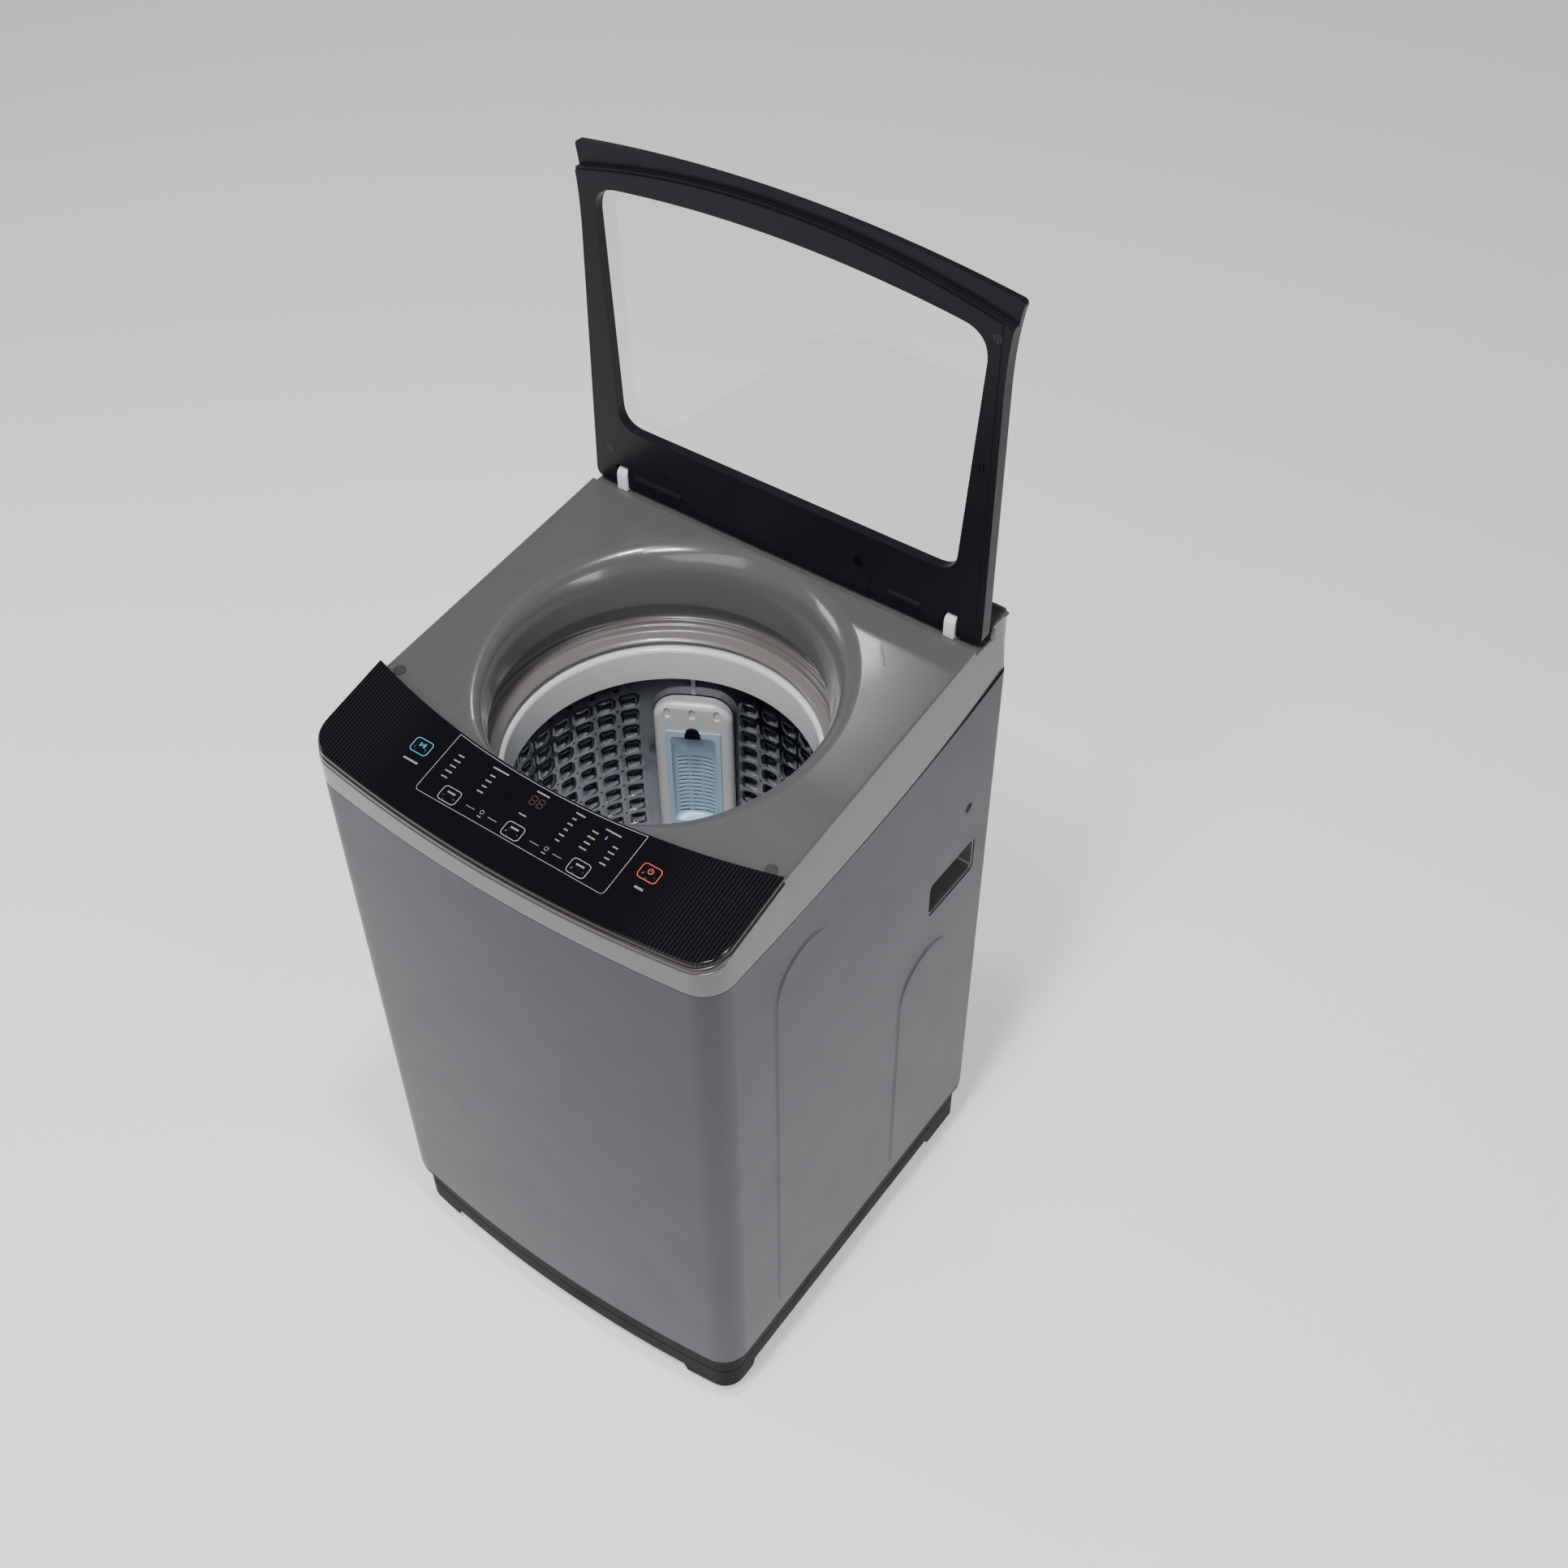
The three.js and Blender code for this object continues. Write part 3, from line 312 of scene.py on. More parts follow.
    @staticmethod
    def applied(piece: bpy.types.Object, kind: str, **settings: object) -> bpy.types.Object:
        """Gives a piece a modifier and applies it.

        Args:
            piece: The piece.
            kind: The modifier's type.
            **settings: Its properties.

        Returns:
            The piece.
        """
        Bench.take(piece)
        bpy.ops.object.modifier_add(type=kind)
        modifier = piece.modifiers[-1]
        for name, value in settings.items():
            setattr(modifier, name, value)
        bpy.ops.object.modifier_apply(modifier=modifier.name)
        return piece

    @staticmethod
    def combined(piece: bpy.types.Object, tool: bpy.types.Object, how: str) -> bpy.types.Object:
        """Joins, cuts or intersects a piece with a tool, which is used up.

        Args:
            piece: The piece.
            tool: The other solid.
            how: UNION, DIFFERENCE or INTERSECT.

        Returns:
            The piece.
        """
        Bench.applied(piece, "BOOLEAN", object=tool, operation=how, solver="EXACT")
        bpy.data.objects.remove(tool)
        return piece

    @staticmethod
    def cut(piece: bpy.types.Object, tool: bpy.types.Object) -> bpy.types.Object:
        """Cuts a piece with a tool."""
        return Bench.combined(piece, tool, "DIFFERENCE")

    @staticmethod
    def rounded(piece: bpy.types.Object, width: float, segments: int, angle: float) -> bpy.types.Object:
        """Rounds a piece's edges.

        Args:
            piece: The piece.
            width: The rounding's width.
            segments: Its facets.
            angle: Edges sharper than this, in degrees, are rounded.

        Returns:
            The piece.
        """
        return Bench.applied(
            piece,
            "BEVEL",
            width=width,
            segments=segments,
            limit_method="ANGLE",
            angle_limit=math.radians(angle),
            use_clamp_overlap=True,
            harden_normals=False,
        )

    @staticmethod
    def repeated(piece: bpy.types.Object, count: int, step: Sequence[float]) -> bpy.types.Object:
        """Repeats a piece in a row, a step apart."""
        spaced = {"use_relative_offset": False, "use_constant_offset": True, "constant_offset_displace": step}
        return Bench.applied(piece, "ARRAY", count=count, **spaced)

    @staticmethod
    def smooth(piece: bpy.types.Object, angle: float) -> bpy.types.Object:
        """Shades a piece smooth, with its sharper edges kept."""
        Bench.take(piece)
        bpy.ops.object.shade_smooth_by_angle(angle=math.radians(angle))
        return Bench.applied(piece, "WEIGHTED_NORMAL", keep_sharp=True, weight=90)

    @staticmethod
    def merged(pieces: Sequence[bpy.types.Object]) -> bpy.types.Object:
        """Joins separate pieces into the first one, as one object."""
        Bench.take(pieces[0])
        for piece in pieces[1:]:
            piece.select_set(True)
        bpy.ops.object.join()
        return pieces[0]


# ---------------------------------------------------------------- shader tools
class Tree:
    """A node tree under construction."""

    def __init__(self, nodes: bpy.types.NodeTree) -> None:
        """Takes the tree to build in."""
        self.tree = nodes

    def add(
        self, kind: str, links: dict[str | int, object] | None = None, **settings: object
    ) -> bpy.types.Node:
        """Adds a node.

        Args:
            kind: The node's type, without its ShaderNode prefix.
            links: Sockets by name or number, each with a value or with the output socket that feeds it.
            **settings: The node's own properties.

        Returns:
            The node.
        """
        node = self.tree.nodes.new("ShaderNode" + kind)
        for name, value in settings.items():
            setattr(node, name, value)
        for name, value in (links or {}).items():
            if isinstance(value, bpy.types.NodeSocket):
                self.tree.links.new(value, node.inputs[name])
            else:
                node.inputs[name].default_value = value
        return node

    def math(self, how: str, *values: object) -> bpy.types.NodeSocket:
        """A math node's output, from its operation and its two or three values."""
        return self.add("Math", dict(enumerate(values)), operation=how).outputs[0]

    def squares(self, first: object, second: object) -> bpy.types.NodeSocket:
        """The sum of two values' squares."""
        return self.math("ADD", *(self.math("MULTIPLY", value, value) for value in (first, second)))

    def spread(self, value: object, low: float, high: float, to_low: float = 0, to_high: float = 1) -> object:
        """A value's range moved to another, held at both ends."""
        links = {0: value, 1: low, 2: high, 3: to_low, 4: to_high}
        return self.add("MapRange", links, clamp=True).outputs[0]


class Effects:
    """The shader groups that the finishes share, each built once."""

    made: dict[str, bpy.types.NodeTree] = {}

    @classmethod
    def start(
        cls, name: str, inputs: dict[str, object], outputs: dict[str, str]
    ) -> tuple[Tree, bpy.types.Node, bpy.types.Node]:
        """Begins a group.

        Args:
            name: Its name.
            inputs: Its inputs, each with a default value: a number or a colour.
            outputs: Its outputs, each with its kind: Float or Color.

        Returns:
            The tree, its input node and its output node.
        """
        group = bpy.data.node_groups.new(name, "ShaderNodeTree")
        for title, value in inputs.items():
            kind = "NodeSocketColor" if isinstance(value, tuple) else "NodeSocketFloat"
            group.interface.new_socket(title, in_out="INPUT", socket_type=kind).default_value = value
        for title, kind in outputs.items():
            group.interface.new_socket(title, in_out="OUTPUT", socket_type="NodeSocket" + kind)
        cls.made[name] = group
        return Tree(group), group.nodes.new("NodeGroupInput"), group.nodes.new("NodeGroupOutput")

    @classmethod
    def place(cls, tree: Tree, name: str, values: dict[str, object]) -> bpy.types.Node:
        """Places a group in a material with its own values.

        Args:
            tree: The material's tree.
            name: The group's name.
            values: Values or feeding sockets by input name.

        Returns:
            The group's node.
        """
        if name not in cls.made:
            getattr(cls, name)()
        node = tree.add("Group", node_tree=cls.made[name])
        for title, value in values.items():
            if isinstance(value, bpy.types.NodeSocket):
                tree.tree.links.new(value, node.inputs[title])
            else:
                node.inputs[title].default_value = value
        return node

    @classmethod
    def mottling(cls) -> None:
        """Large, faint unevenness of a colour, as in any moulded or painted surface."""
        tree, given, out = cls.start(
            "mottling", {"Colour": (0.5, 0.5, 0.5, 1), "Amount": 0.05, "Scale": 6.0}, {"Colour": "Color"}
        )
        place = tree.add("TexCoord").outputs["Object"]
        noise = tree.add("TexNoise", {"Vector": place, "Scale": given.outputs["Scale"], "Detail": 4.0})
        swing = tree.math("MULTIPLY", tree.math("SUBTRACT", noise.outputs[0], 0.5), given.outputs["Amount"])
        factor = tree.math("ADD", tree.math("MULTIPLY", swing, 2.0), 1.0)
        scaled = tree.add("VectorMath", {0: given.outputs["Colour"], "Scale": factor}, operation="SCALE")
        tree.tree.links.new(scaled.outputs[0], out.inputs["Colour"])

    @classmethod
    def grain(cls) -> None:
        """The fine texture of a surface, as a height."""
        tree, given, out = cls.start("grain", {"Scale": 900.0, "Stretch": 1.0}, {"Height": "Float"})
        place = tree.add("TexCoord").outputs["Object"]
        sizes = tree.add("CombineXYZ", {"X": 1.0, "Y": 1.0, "Z": given.outputs["Stretch"]})
        drawn = tree.add("VectorMath", {0: place, 1: sizes.outputs[0]}, operation="MULTIPLY")
        noise = tree.add(
            "TexNoise", {"Vector": drawn.outputs[0], "Scale": given.outputs["Scale"], "Detail": 3.0}
        )
        tree.tree.links.new(noise.outputs[0], out.inputs["Height"])

    @classmethod
    def handling(cls) -> None:
        """Smears and fine scuffs that hands and cloths leave, as a roughness."""
        inputs = {"Roughness": 0.4, "Amount": 0.08, "Scale": 14.0}
        tree, given, out = cls.start("handling", inputs, {"Roughness": "Float"})
        place = tree.add("TexCoord").outputs["Object"]
        broad = tree.add("TexNoise", {"Vector": place, "Scale": given.outputs["Scale"], "Detail": 5.0})
        long = tree.add("VectorMath", {0: place, 1: (3.0, 9.0, 60.0)}, operation="MULTIPLY")
        fine = tree.add("TexNoise", {"Vector": long.outputs[0], "Scale": 9.0, "Detail": 2.0})
        smear = tree.spread(broad.outputs[0], 0.42, 0.7)
        scuff = tree.spread(fine.outputs[0], 0.6, 0.75, 0, 0.5)
        mask = tree.math("ADD", smear, scuff)
        change = tree.math("MULTIPLY", mask, given.outputs["Amount"])
        tree.tree.links.new(tree.math("ADD", given.outputs["Roughness"], change), out.inputs["Roughness"])

    @classmethod
    def dust(cls) -> None:
        """Pale dust that settles on what faces up."""
        tree, given, out = cls.start(
            "dust", {"Colour": (0.5, 0.5, 0.5, 1), "Amount": 0.06, "Scale": 40.0}, {"Colour": "Color"}
        )
        place = tree.add("TexCoord").outputs["Object"]
        noise = tree.add("TexNoise", {"Vector": place, "Scale": given.outputs["Scale"], "Detail": 6.0})
        facing = tree.add("SeparateXYZ", {0: tree.add("NewGeometry").outputs["Normal"]}).outputs["Z"]
        mask = tree.math("MULTIPLY", tree.spread(facing, 0.2, 1.0), tree.spread(noise.outputs[0], 0.4, 0.8))
        amount = tree.math("MULTIPLY", mask, given.outputs["Amount"])
        mix = tree.add("Mix", data_type="RGBA")
        for socket, value in ((mix.inputs[0], amount), (mix.inputs[6], given.outputs["Colour"])):
            tree.tree.links.new(value, socket)
        mix.inputs[7].default_value = (0.55, 0.53, 0.5, 1)
        tree.tree.links.new(mix.outputs[2], out.inputs["Colour"])

    @classmethod
    def end_stripes(cls) -> None:
        """Fine printed stripes towards both ends of the control panel, as a mask."""
        tree, given, out = cls.start(
            "end_stripes", {"Start": 0.16, "Pitch": 0.0042, "Share": 0.3}, {"Mask": "Float"}
        )
        place = tree.add("SeparateXYZ", {0: tree.add("TexCoord").outputs["Object"]})
        across = place.outputs["X"]
        lines = tree.math("FRACT", tree.math("DIVIDE", tree.math("ADD", across, 1.0), given.outputs["Pitch"]))
        line = tree.math("LESS_THAN", lines, given.outputs["Share"])
        fade = tree.spread(
            tree.math("SUBTRACT", tree.math("ABSOLUTE", across), given.outputs["Start"]), 0, 0.05
        )
        tree.tree.links.new(tree.math("MULTIPLY", line, fade), out.inputs["Mask"])

    @classmethod
    def perforation(cls) -> None:
        """The drum wall's holes, open in its alpha: small ones between pillows, a larger row at the top."""
        inputs = {"Columns": 42.0, "Low": 0.4156, "Pitch": 0.0262, "Small": 1.5, "Large": 3.6}
        tree, given, out = cls.start("perforation", inputs, {"Alpha": "Float"})
        place = tree.add("SeparateXYZ", {0: tree.add("TexCoord").outputs["Object"]}).outputs
        turn = tree.math("ARCTAN2", place["Y"], place["X"])
        share = tree.math("MULTIPLY", tree.math("DIVIDE", turn, 2 * math.pi), given.outputs["Columns"])
        across = tree.math("SUBTRACT", tree.math("FRACT", tree.math("ADD", share, 100.5)), 0.5)
        across = tree.math(
            "MULTIPLY", tree.math("DIVIDE", across, given.outputs["Columns"]), 2 * math.pi * 204
        )
        level = tree.math(
            "DIVIDE", tree.math("SUBTRACT", place["Z"], given.outputs["Low"]), given.outputs["Pitch"]
        )
        up = tree.math("SUBTRACT", tree.math("FRACT", tree.math("ADD", level, 0.5)), 0.5)
        up = tree.math("MULTIPLY", tree.math("MULTIPLY", up, given.outputs["Pitch"]), 1000.0)
        near = tree.math("SQRT", tree.squares(across, up))
        small = tree.math("LESS_THAN", near, given.outputs["Small"])
        rise = tree.math("MULTIPLY", tree.math("SUBTRACT", place["Z"], 0.7385), 1000.0)
        far = tree.math("SQRT", tree.squares(across, rise))
        large = tree.math("LESS_THAN", far, given.outputs["Large"])
        within = tree.math(
            "MULTIPLY", tree.math("GREATER_THAN", level, 0.5), tree.math("LESS_THAN", level, 11.5)
        )
        off = tree.math("ABSOLUTE", tree.math("SUBTRACT", turn, math.pi / 2 + TOWER_TURN))
        open_here = tree.math("MAXIMUM", tree.math("MULTIPLY", small, within), large)
        reach = tree.squares(place["X"], place["Y"])
        wall = tree.math(
            "MULTIPLY", tree.math("GREATER_THAN", reach, 0.04), tree.math("LESS_THAN", reach, 0.044)
        )
        mask = tree.math(
            "MULTIPLY", tree.math("MULTIPLY", open_here, wall), tree.math("GREATER_THAN", off, 0.345)
        )
        tree.tree.links.new(tree.math("SUBTRACT", 1.0, mask), out.inputs["Alpha"])


# ---------------------------------------------------------------- finishes
@dataclass(frozen=True)
class Finish:
    """An opaque surface finish: its colour, gloss, and the size and depth of its texture."""

    name: str
    colour: Colour
    roughness: float
    metallic: float = 0.0
    coat: float = 0.0
    grain_scale: float = 900.0
    grain_depth: float = 0.00002
    stretch: float = 1.0
    mottling: float = 0.05
    handling: float = 0.07
    dust: float = 0.04
    specular: float = 0.5

    def colour_socket(self, tree: Tree) -> bpy.types.NodeSocket:
        """The finish's colour with its unevenness and dust, as a socket."""
        uneven = Effects.place(tree, "mottling", {"Colour": (*self.colour, 1), "Amount": self.mottling})
        return Effects.place(tree, "dust", {"Colour": uneven.outputs[0], "Amount": self.dust}).outputs[0]

    def build(self) -> bpy.types.Material:
        """Builds the material.

        Returns:
            The material, under the finish's name.
        """
        material = bpy.data.materials.new(self.name)
        material.use_nodes = True
        tree = Tree(material.node_tree)
        shader = material.node_tree.nodes["Principled BSDF"]
        worn = Effects.place(tree, "handling", {"Roughness": self.roughness, "Amount": self.handling})
        height = Effects.place(tree, "grain", {"Scale": self.grain_scale, "Stretch": self.stretch})
        bump = tree.add("Bump", {"Height": height.outputs[0], "Distance": self.grain_depth, "Strength": 1.0})
        material.node_tree.links.new(self.colour_socket(tree), shader.inputs["Base Color"])
        material.node_tree.links.new(worn.outputs[0], shader.inputs["Roughness"])
        material.node_tree.links.new(bump.outputs[0], shader.inputs["Normal"])
        shader.inputs["Metallic"].default_value = self.metallic
        shader.inputs["Specular IOR Level"].default_value = self.specular
        shader.inputs["Coat Weight"].default_value = self.coat
        shader.inputs["Coat Roughness"].default_value = 0.06
        return material


@dataclass(frozen=True)
class PrintedGloss(Finish):
    """Black gloss with fine stripes printed towards its ends."""

    stripe: Colour = (0.013, 0.012, 0.014)

    def colour_socket(self, tree: Tree) -> bpy.types.NodeSocket:
        """The black with its stripes."""
        mask = Effects.place(tree, "end_stripes", {}).outputs[0]
        mix = tree.add("Mix", data_type="RGBA")
        tree.tree.links.new(mask, mix.inputs[0])
        mix.inputs[6].default_value = (*self.colour, 1)
        mix.inputs[7].default_value = (*self.stripe, 1)
        return Effects.place(tree, "dust", {"Colour": mix.outputs[2], "Amount": self.dust}).outputs[0]


@dataclass(frozen=True)
class Perforated(Finish):
    """A finish whose drum wall is pierced."""

    def build(self) -> bpy.types.Material:
        """Builds the material with its holes."""
        material = super().build()
        holes = Effects.place(Tree(material.node_tree), "perforation", {})
        material.node_tree.links.new(
            holes.outputs[0], material.node_tree.nodes["Principled BSDF"].inputs["Alpha"]
        )
        return material


@dataclass(frozen=True)
class Clear:
    """A clear or tinted see-through finish."""

    name: str
    colour: Colour
    roughness: float
    transmission: float = 1.0
    alpha: float = 1.0
    ior: float = 1.45

    def build(self) -> bpy.types.Material:
        """Builds the material.

        Returns:
            The material, under the finish's name.
        """
        material = bpy.data.materials.new(self.name)
        material.use_nodes = True
        tree = Tree(material.node_tree)
        shader = material.node_tree.nodes["Principled BSDF"]
        uneven = Effects.place(tree, "mottling", {"Colour": (*self.colour, 1), "Amount": 0.03})
        worn = Effects.place(tree, "handling", {"Roughness": self.roughness, "Amount": 0.02})
        material.node_tree.links.new(uneven.outputs[0], shader.inputs["Base Color"])
        material.node_tree.links.new(worn.outputs[0], shader.inputs["Roughness"])
        shader.inputs["Transmission Weight"].default_value = self.transmission
        shader.inputs["Alpha"].default_value = self.alpha
        shader.inputs["IOR"].default_value = self.ior
        return material


@dataclass(frozen=True)
class Lit:
    """A printed or lit sign: a plain colour that glows a little. On print, which gives no light of its own,
    the glow is painted light.
    """

    name: str
    colour: Colour
    glow: float

    def build(self) -> bpy.types.Material:
        """Builds the material.

        Returns:
            The material, under the finish's name.
        """
        material = bpy.data.materials.new(self.name)
        material.use_nodes = True
        tree = Tree(material.node_tree)
        shader = material.node_tree.nodes["Principled BSDF"]
        uneven = Effects.place(tree, "mottling", {"Colour": (*self.colour, 1), "Amount": 0.1, "Scale": 200.0})
        for socket in ("Base Color", "Emission Color"):
            material.node_tree.links.new(uneven.outputs[0], shader.inputs[socket])
        shader.inputs["Emission Strength"].default_value = self.glow
        shader.inputs["Roughness"].default_value = 0.35
        return material


class Slot(Enum):
    """The record's material slots, each with its finish."""

    painted_steel = Finish(
        "satin_violet_grey_paint", (0.034, 0.0315, 0.042), roughness=0.42, metallic=0.15, coat=0.04,
        grain_scale=1400, mottling=0.02, handling=0.03, dust=0.01, specular=0.32,
    )
    cover_plastic = Finish(
        "gloss_grey_moulding", (0.07, 0.068, 0.072), roughness=0.2, coat=0.27, grain_scale=300,
        grain_depth=0.00001, mottling=0.02, handling=0.03, dust=0.006,
    )
    ring_plastic = Finish(
        "warm_grey_moulding", (0.13, 0.122, 0.117), roughness=0.3, coat=0.3, grain_scale=500,
        mottling=0.02, handling=0.03, dust=0.01,
    )
    pale_plastic = Finish(
        "light_grey_moulding", (0.57, 0.575, 0.59), roughness=0.33, coat=0.2, grain_scale=600,
        mottling=0.02, dust=0.01,
    )
    black_gloss = PrintedGloss(
        "black_gloss_panel", (0.004, 0.0033, 0.0045), roughness=0.12, coat=0.08, grain_scale=200,
        grain_depth=0.000002, handling=0.02, dust=0.001, specular=0.17,
    )
    black_plastic = Finish(
        "black_semi_gloss", (0.006, 0.006, 0.008), roughness=0.3, grain_scale=1200, grain_depth=0.00001,
        handling=0.04, dust=0.002, specular=0.16,
    )
    bronze_trim = Finish(
        "dark_bronze_metallic", (0.05, 0.042, 0.037), roughness=0.28, metallic=0.8, coat=0.4,
        grain_scale=700, grain_depth=0.00001, dust=0.01,
    )
    dark_plastic = Finish(
        "dark_grained_moulding", (0.006, 0.0055, 0.008), roughness=0.5, grain_scale=800,
        grain_depth=0.00008, dust=0.004, specular=0.06,
    )
    tub_plastic = Finish(
        "natural_polypropylene", (0.5, 0.51, 0.53), roughness=0.45, grain_scale=400, grain_depth=0.00005,
    )
    drum_steel = Perforated(
        "bright_stainless", (0.25, 0.265, 0.29), roughness=0.11, metallic=1.0, grain_scale=700,
        grain_depth=0.000004, stretch=0.05, mottling=0.03, handling=0.06, dust=0.0,
    )
    zinc_steel = Finish(
        "zinc_plate", (0.42, 0.43, 0.44), roughness=0.38, metallic=0.95, grain_scale=500,
        grain_depth=0.00004, mottling=0.15,
    )
    cast_alloy = Finish(
        "as_cast_alloy", (0.45, 0.45, 0.46), roughness=0.5, metallic=0.9, grain_scale=300,
        grain_depth=0.0001, mottling=0.12,
    )
    rubber = Finish("black_rubber", (0.016, 0.016, 0.016), roughness=0.72, grain_depth=0.00008, dust=0.05)
    lid_glass = Clear("clear_tempered_glass", (0.97, 0.985, 0.985), 0.01, 1.0, 0.12)
    filter_blue = Clear("translucent_blue_moulding", (0.42, 0.6, 0.78), 0.28, 0.12)
    circuit = Finish(
        "circuit_board", (0.02, 0.12, 0.05), roughness=0.4, coat=0.2, grain_scale=500,
        grain_depth=0.00005,
    )
    valve_white = Finish(
        "off_white_moulding", (0.62, 0.62, 0.6), roughness=0.45, grain_scale=500, grain_depth=0.00004,
    )


class Ink(Enum):
    """Colours printed on or lit through the control panel. The printed ones also glow a little, as painted
    light.
    """

    # pale print: its small glow is a painted glow, since the print itself gives no light
    white = Lit("pale_print_painted_glow", (0.26, 0.27, 0.28), 0.05)
    # faint print of the dim digits: its faint glow is a painted glow on unlit segments
    faint = Lit("faint_print_painted_glow", (0.05, 0.03, 0.03), 0.02)
    cyan = Lit("cyan_sign", (0.03, 0.33, 0.5), 0.5)
    orange = Lit("orange_sign", (0.6, 0.08, 0.03), 0.5)


class Wardrobe:
    """Builds each finish once and dresses pieces with it."""

    def __init__(self) -> None:
        """Starts with nothing built."""
        self.built: dict[str, bpy.types.Material] = {}

    def material(self, choice: Slot | Ink) -> bpy.types.Material:
        """The material of a finish."""
        finish = choice.value
        if finish.name not in self.built:
            self.built[finish.name] = finish.build()
        return self.built[finish.name]

    def dress(
        self,
        piece: bpy.types.Object,
        name: str,
        choice: Slot | Ink,
        body: str,
        replaces: Sequence[str] = (),
        angle: float = 32,
    ) -> bpy.types.Object:
        """Finishes a new piece: its name, shading, material and the body that it moves with.

        Args:
            piece: The piece, in place.
            name: Its name.
            choice: Its finish.
            body: The body that it rides on.
            replaces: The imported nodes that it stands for.
            angle: Edges sharper than this, in degrees, stay sharp.

        Returns:
            The piece.
        """
        Bench.smooth(piece, angle)
        piece.name = piece.data.name = name
        piece.data.materials.clear()
        piece.data.materials.append(self.material(choice))
        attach(piece, body)
        if replaces:
            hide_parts(*replaces)
        LOG.info("%s: %d faces, moves with %s", name, len(piece.data.polygons), body)
        return piece

    def dress_nodes(self, frame: dict) -> None:
        """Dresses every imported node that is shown, by its slot in the record.
        """
        for row in frame["record"]["subparts"]:
            node = frame["nodes"][row["node"]]
            if node.hide_render:
                continue
            node.data.materials.clear()
            node.data.materials.append(self.material(Slot[row["material_slot"]]))
            weld = node.modifiers.new("weld", "WELD")
            weld.merge_threshold = 1e-5
            bevel = node.modifiers.new("rounding", "BEVEL")
            bevel.width, bevel.segments, bevel.limit_method = 0.0006, 2, "ANGLE"
            bevel.angle_limit = math.radians(40)
            LOG.info("%s: packed node in %s", node.name, row["material_slot"])


# ---------------------------------------------------------------- studio
@dataclass
class Studio:
    """The camera, the soft lights and the pale floor."""

    eye: tuple[float, float, float] = (0.9914, -1.1385, 2.3240)
    target: tuple[float, float, float] = (-0.0273, 0.2707, 0.5292)
    lens: float = 43.49
    roll: float = -0.005

    def camera(self) -> None:
        """Places the camera."""
        data = bpy.data.cameras.new("camera")
        data.lens, data.sensor_width = self.lens, 36
        camera = bpy.data.objects.new("camera", data)
        bpy.context.scene.collection.objects.link(camera)
        aim = (Vector(self.target) - Vector(self.eye)).to_track_quat("-Z", "Y")
        camera.matrix_world = (
            Matrix.Translation(self.eye) @ aim.to_matrix().to_4x4() @ Matrix.Rotation(self.roll, 4, "Z")
        )
        bpy.context.scene.camera = camera

    def light(
        self, name: str, place: Sequence[float], aim: Sequence[float], size: Point, power: float
    ) -> None:
        """Hangs one rectangular soft light.

        Args:
            name: Its name.
            place: Where it hangs.
            aim: The point that it faces.
            size: Its width and height.
            power: Its power in watts.
        """
        data = bpy.data.lights.new(name, "AREA")
        data.shape, data.energy = "RECTANGLE", power
        data.size, data.size_y = size
        lamp = bpy.data.objects.new(name, data)
        bpy.context.scene.collection.objects.link(lamp)
        lamp.location = place
        lamp.rotation_euler = (Vector(aim) - Vector(place)).to_track_quat("-Z", "Y").to_euler()

    def build(self) -> None:
        """Sets the studio up."""
        self.camera()
        self.light("front_softbox", (0.2, -3.0, 2.2), (0, 0, 0.5), (2.4, 1.6), 36)
        self.light("left_softbox", (-2.8, -0.9, 2.2), (0, 0, 0.7), (1.0, 1.2), 30)
        self.light("right_softbox", (3.0, -0.6, 1.6), (0, 0, 0.5), (1.0, 1.6), 34)
        self.light("key", (0.35, -1.25, 3.3), (0, 0.05, 0.7), (0.45, 0.45), 62)
        self.light("drum_light", (0.3, -0.35, 3.2), (0, 0.1, 0.6), (0.2, 0.2), 40)
        self.light("rear_square", (-1.15, 1.55, 3.3), (0, 0.1, 0.9), (0.22, 0.22), 6)
        world = bpy.data.worlds.new("studio")
        world.use_nodes = True
        bpy.context.scene.world = world
        tree = Tree(world.node_tree)
        height = tree.add("SeparateXYZ", {0: tree.add("TexCoord").outputs["Generated"]}).outputs["Z"]
        strength = tree.spread(height, -0.1, 0.55, 0.6, 0.1)
        backdrop = world.node_tree.nodes["Background"]
        backdrop.inputs["Color"].default_value = (0.93, 0.95, 1, 1)
        world.node_tree.links.new(strength, backdrop.inputs["Strength"])
        bpy.ops.object.select_all(action="DESELECT")
        bpy.ops.mesh.primitive_plane_add(size=30, location=(0, 0, -0.0005))
        floor = bpy.context.object
        floor.name = "studio_floor"
        floor.data.materials.append(Lit("pale_floor", (0.9, 0.9, 0.905), 0.5).build())


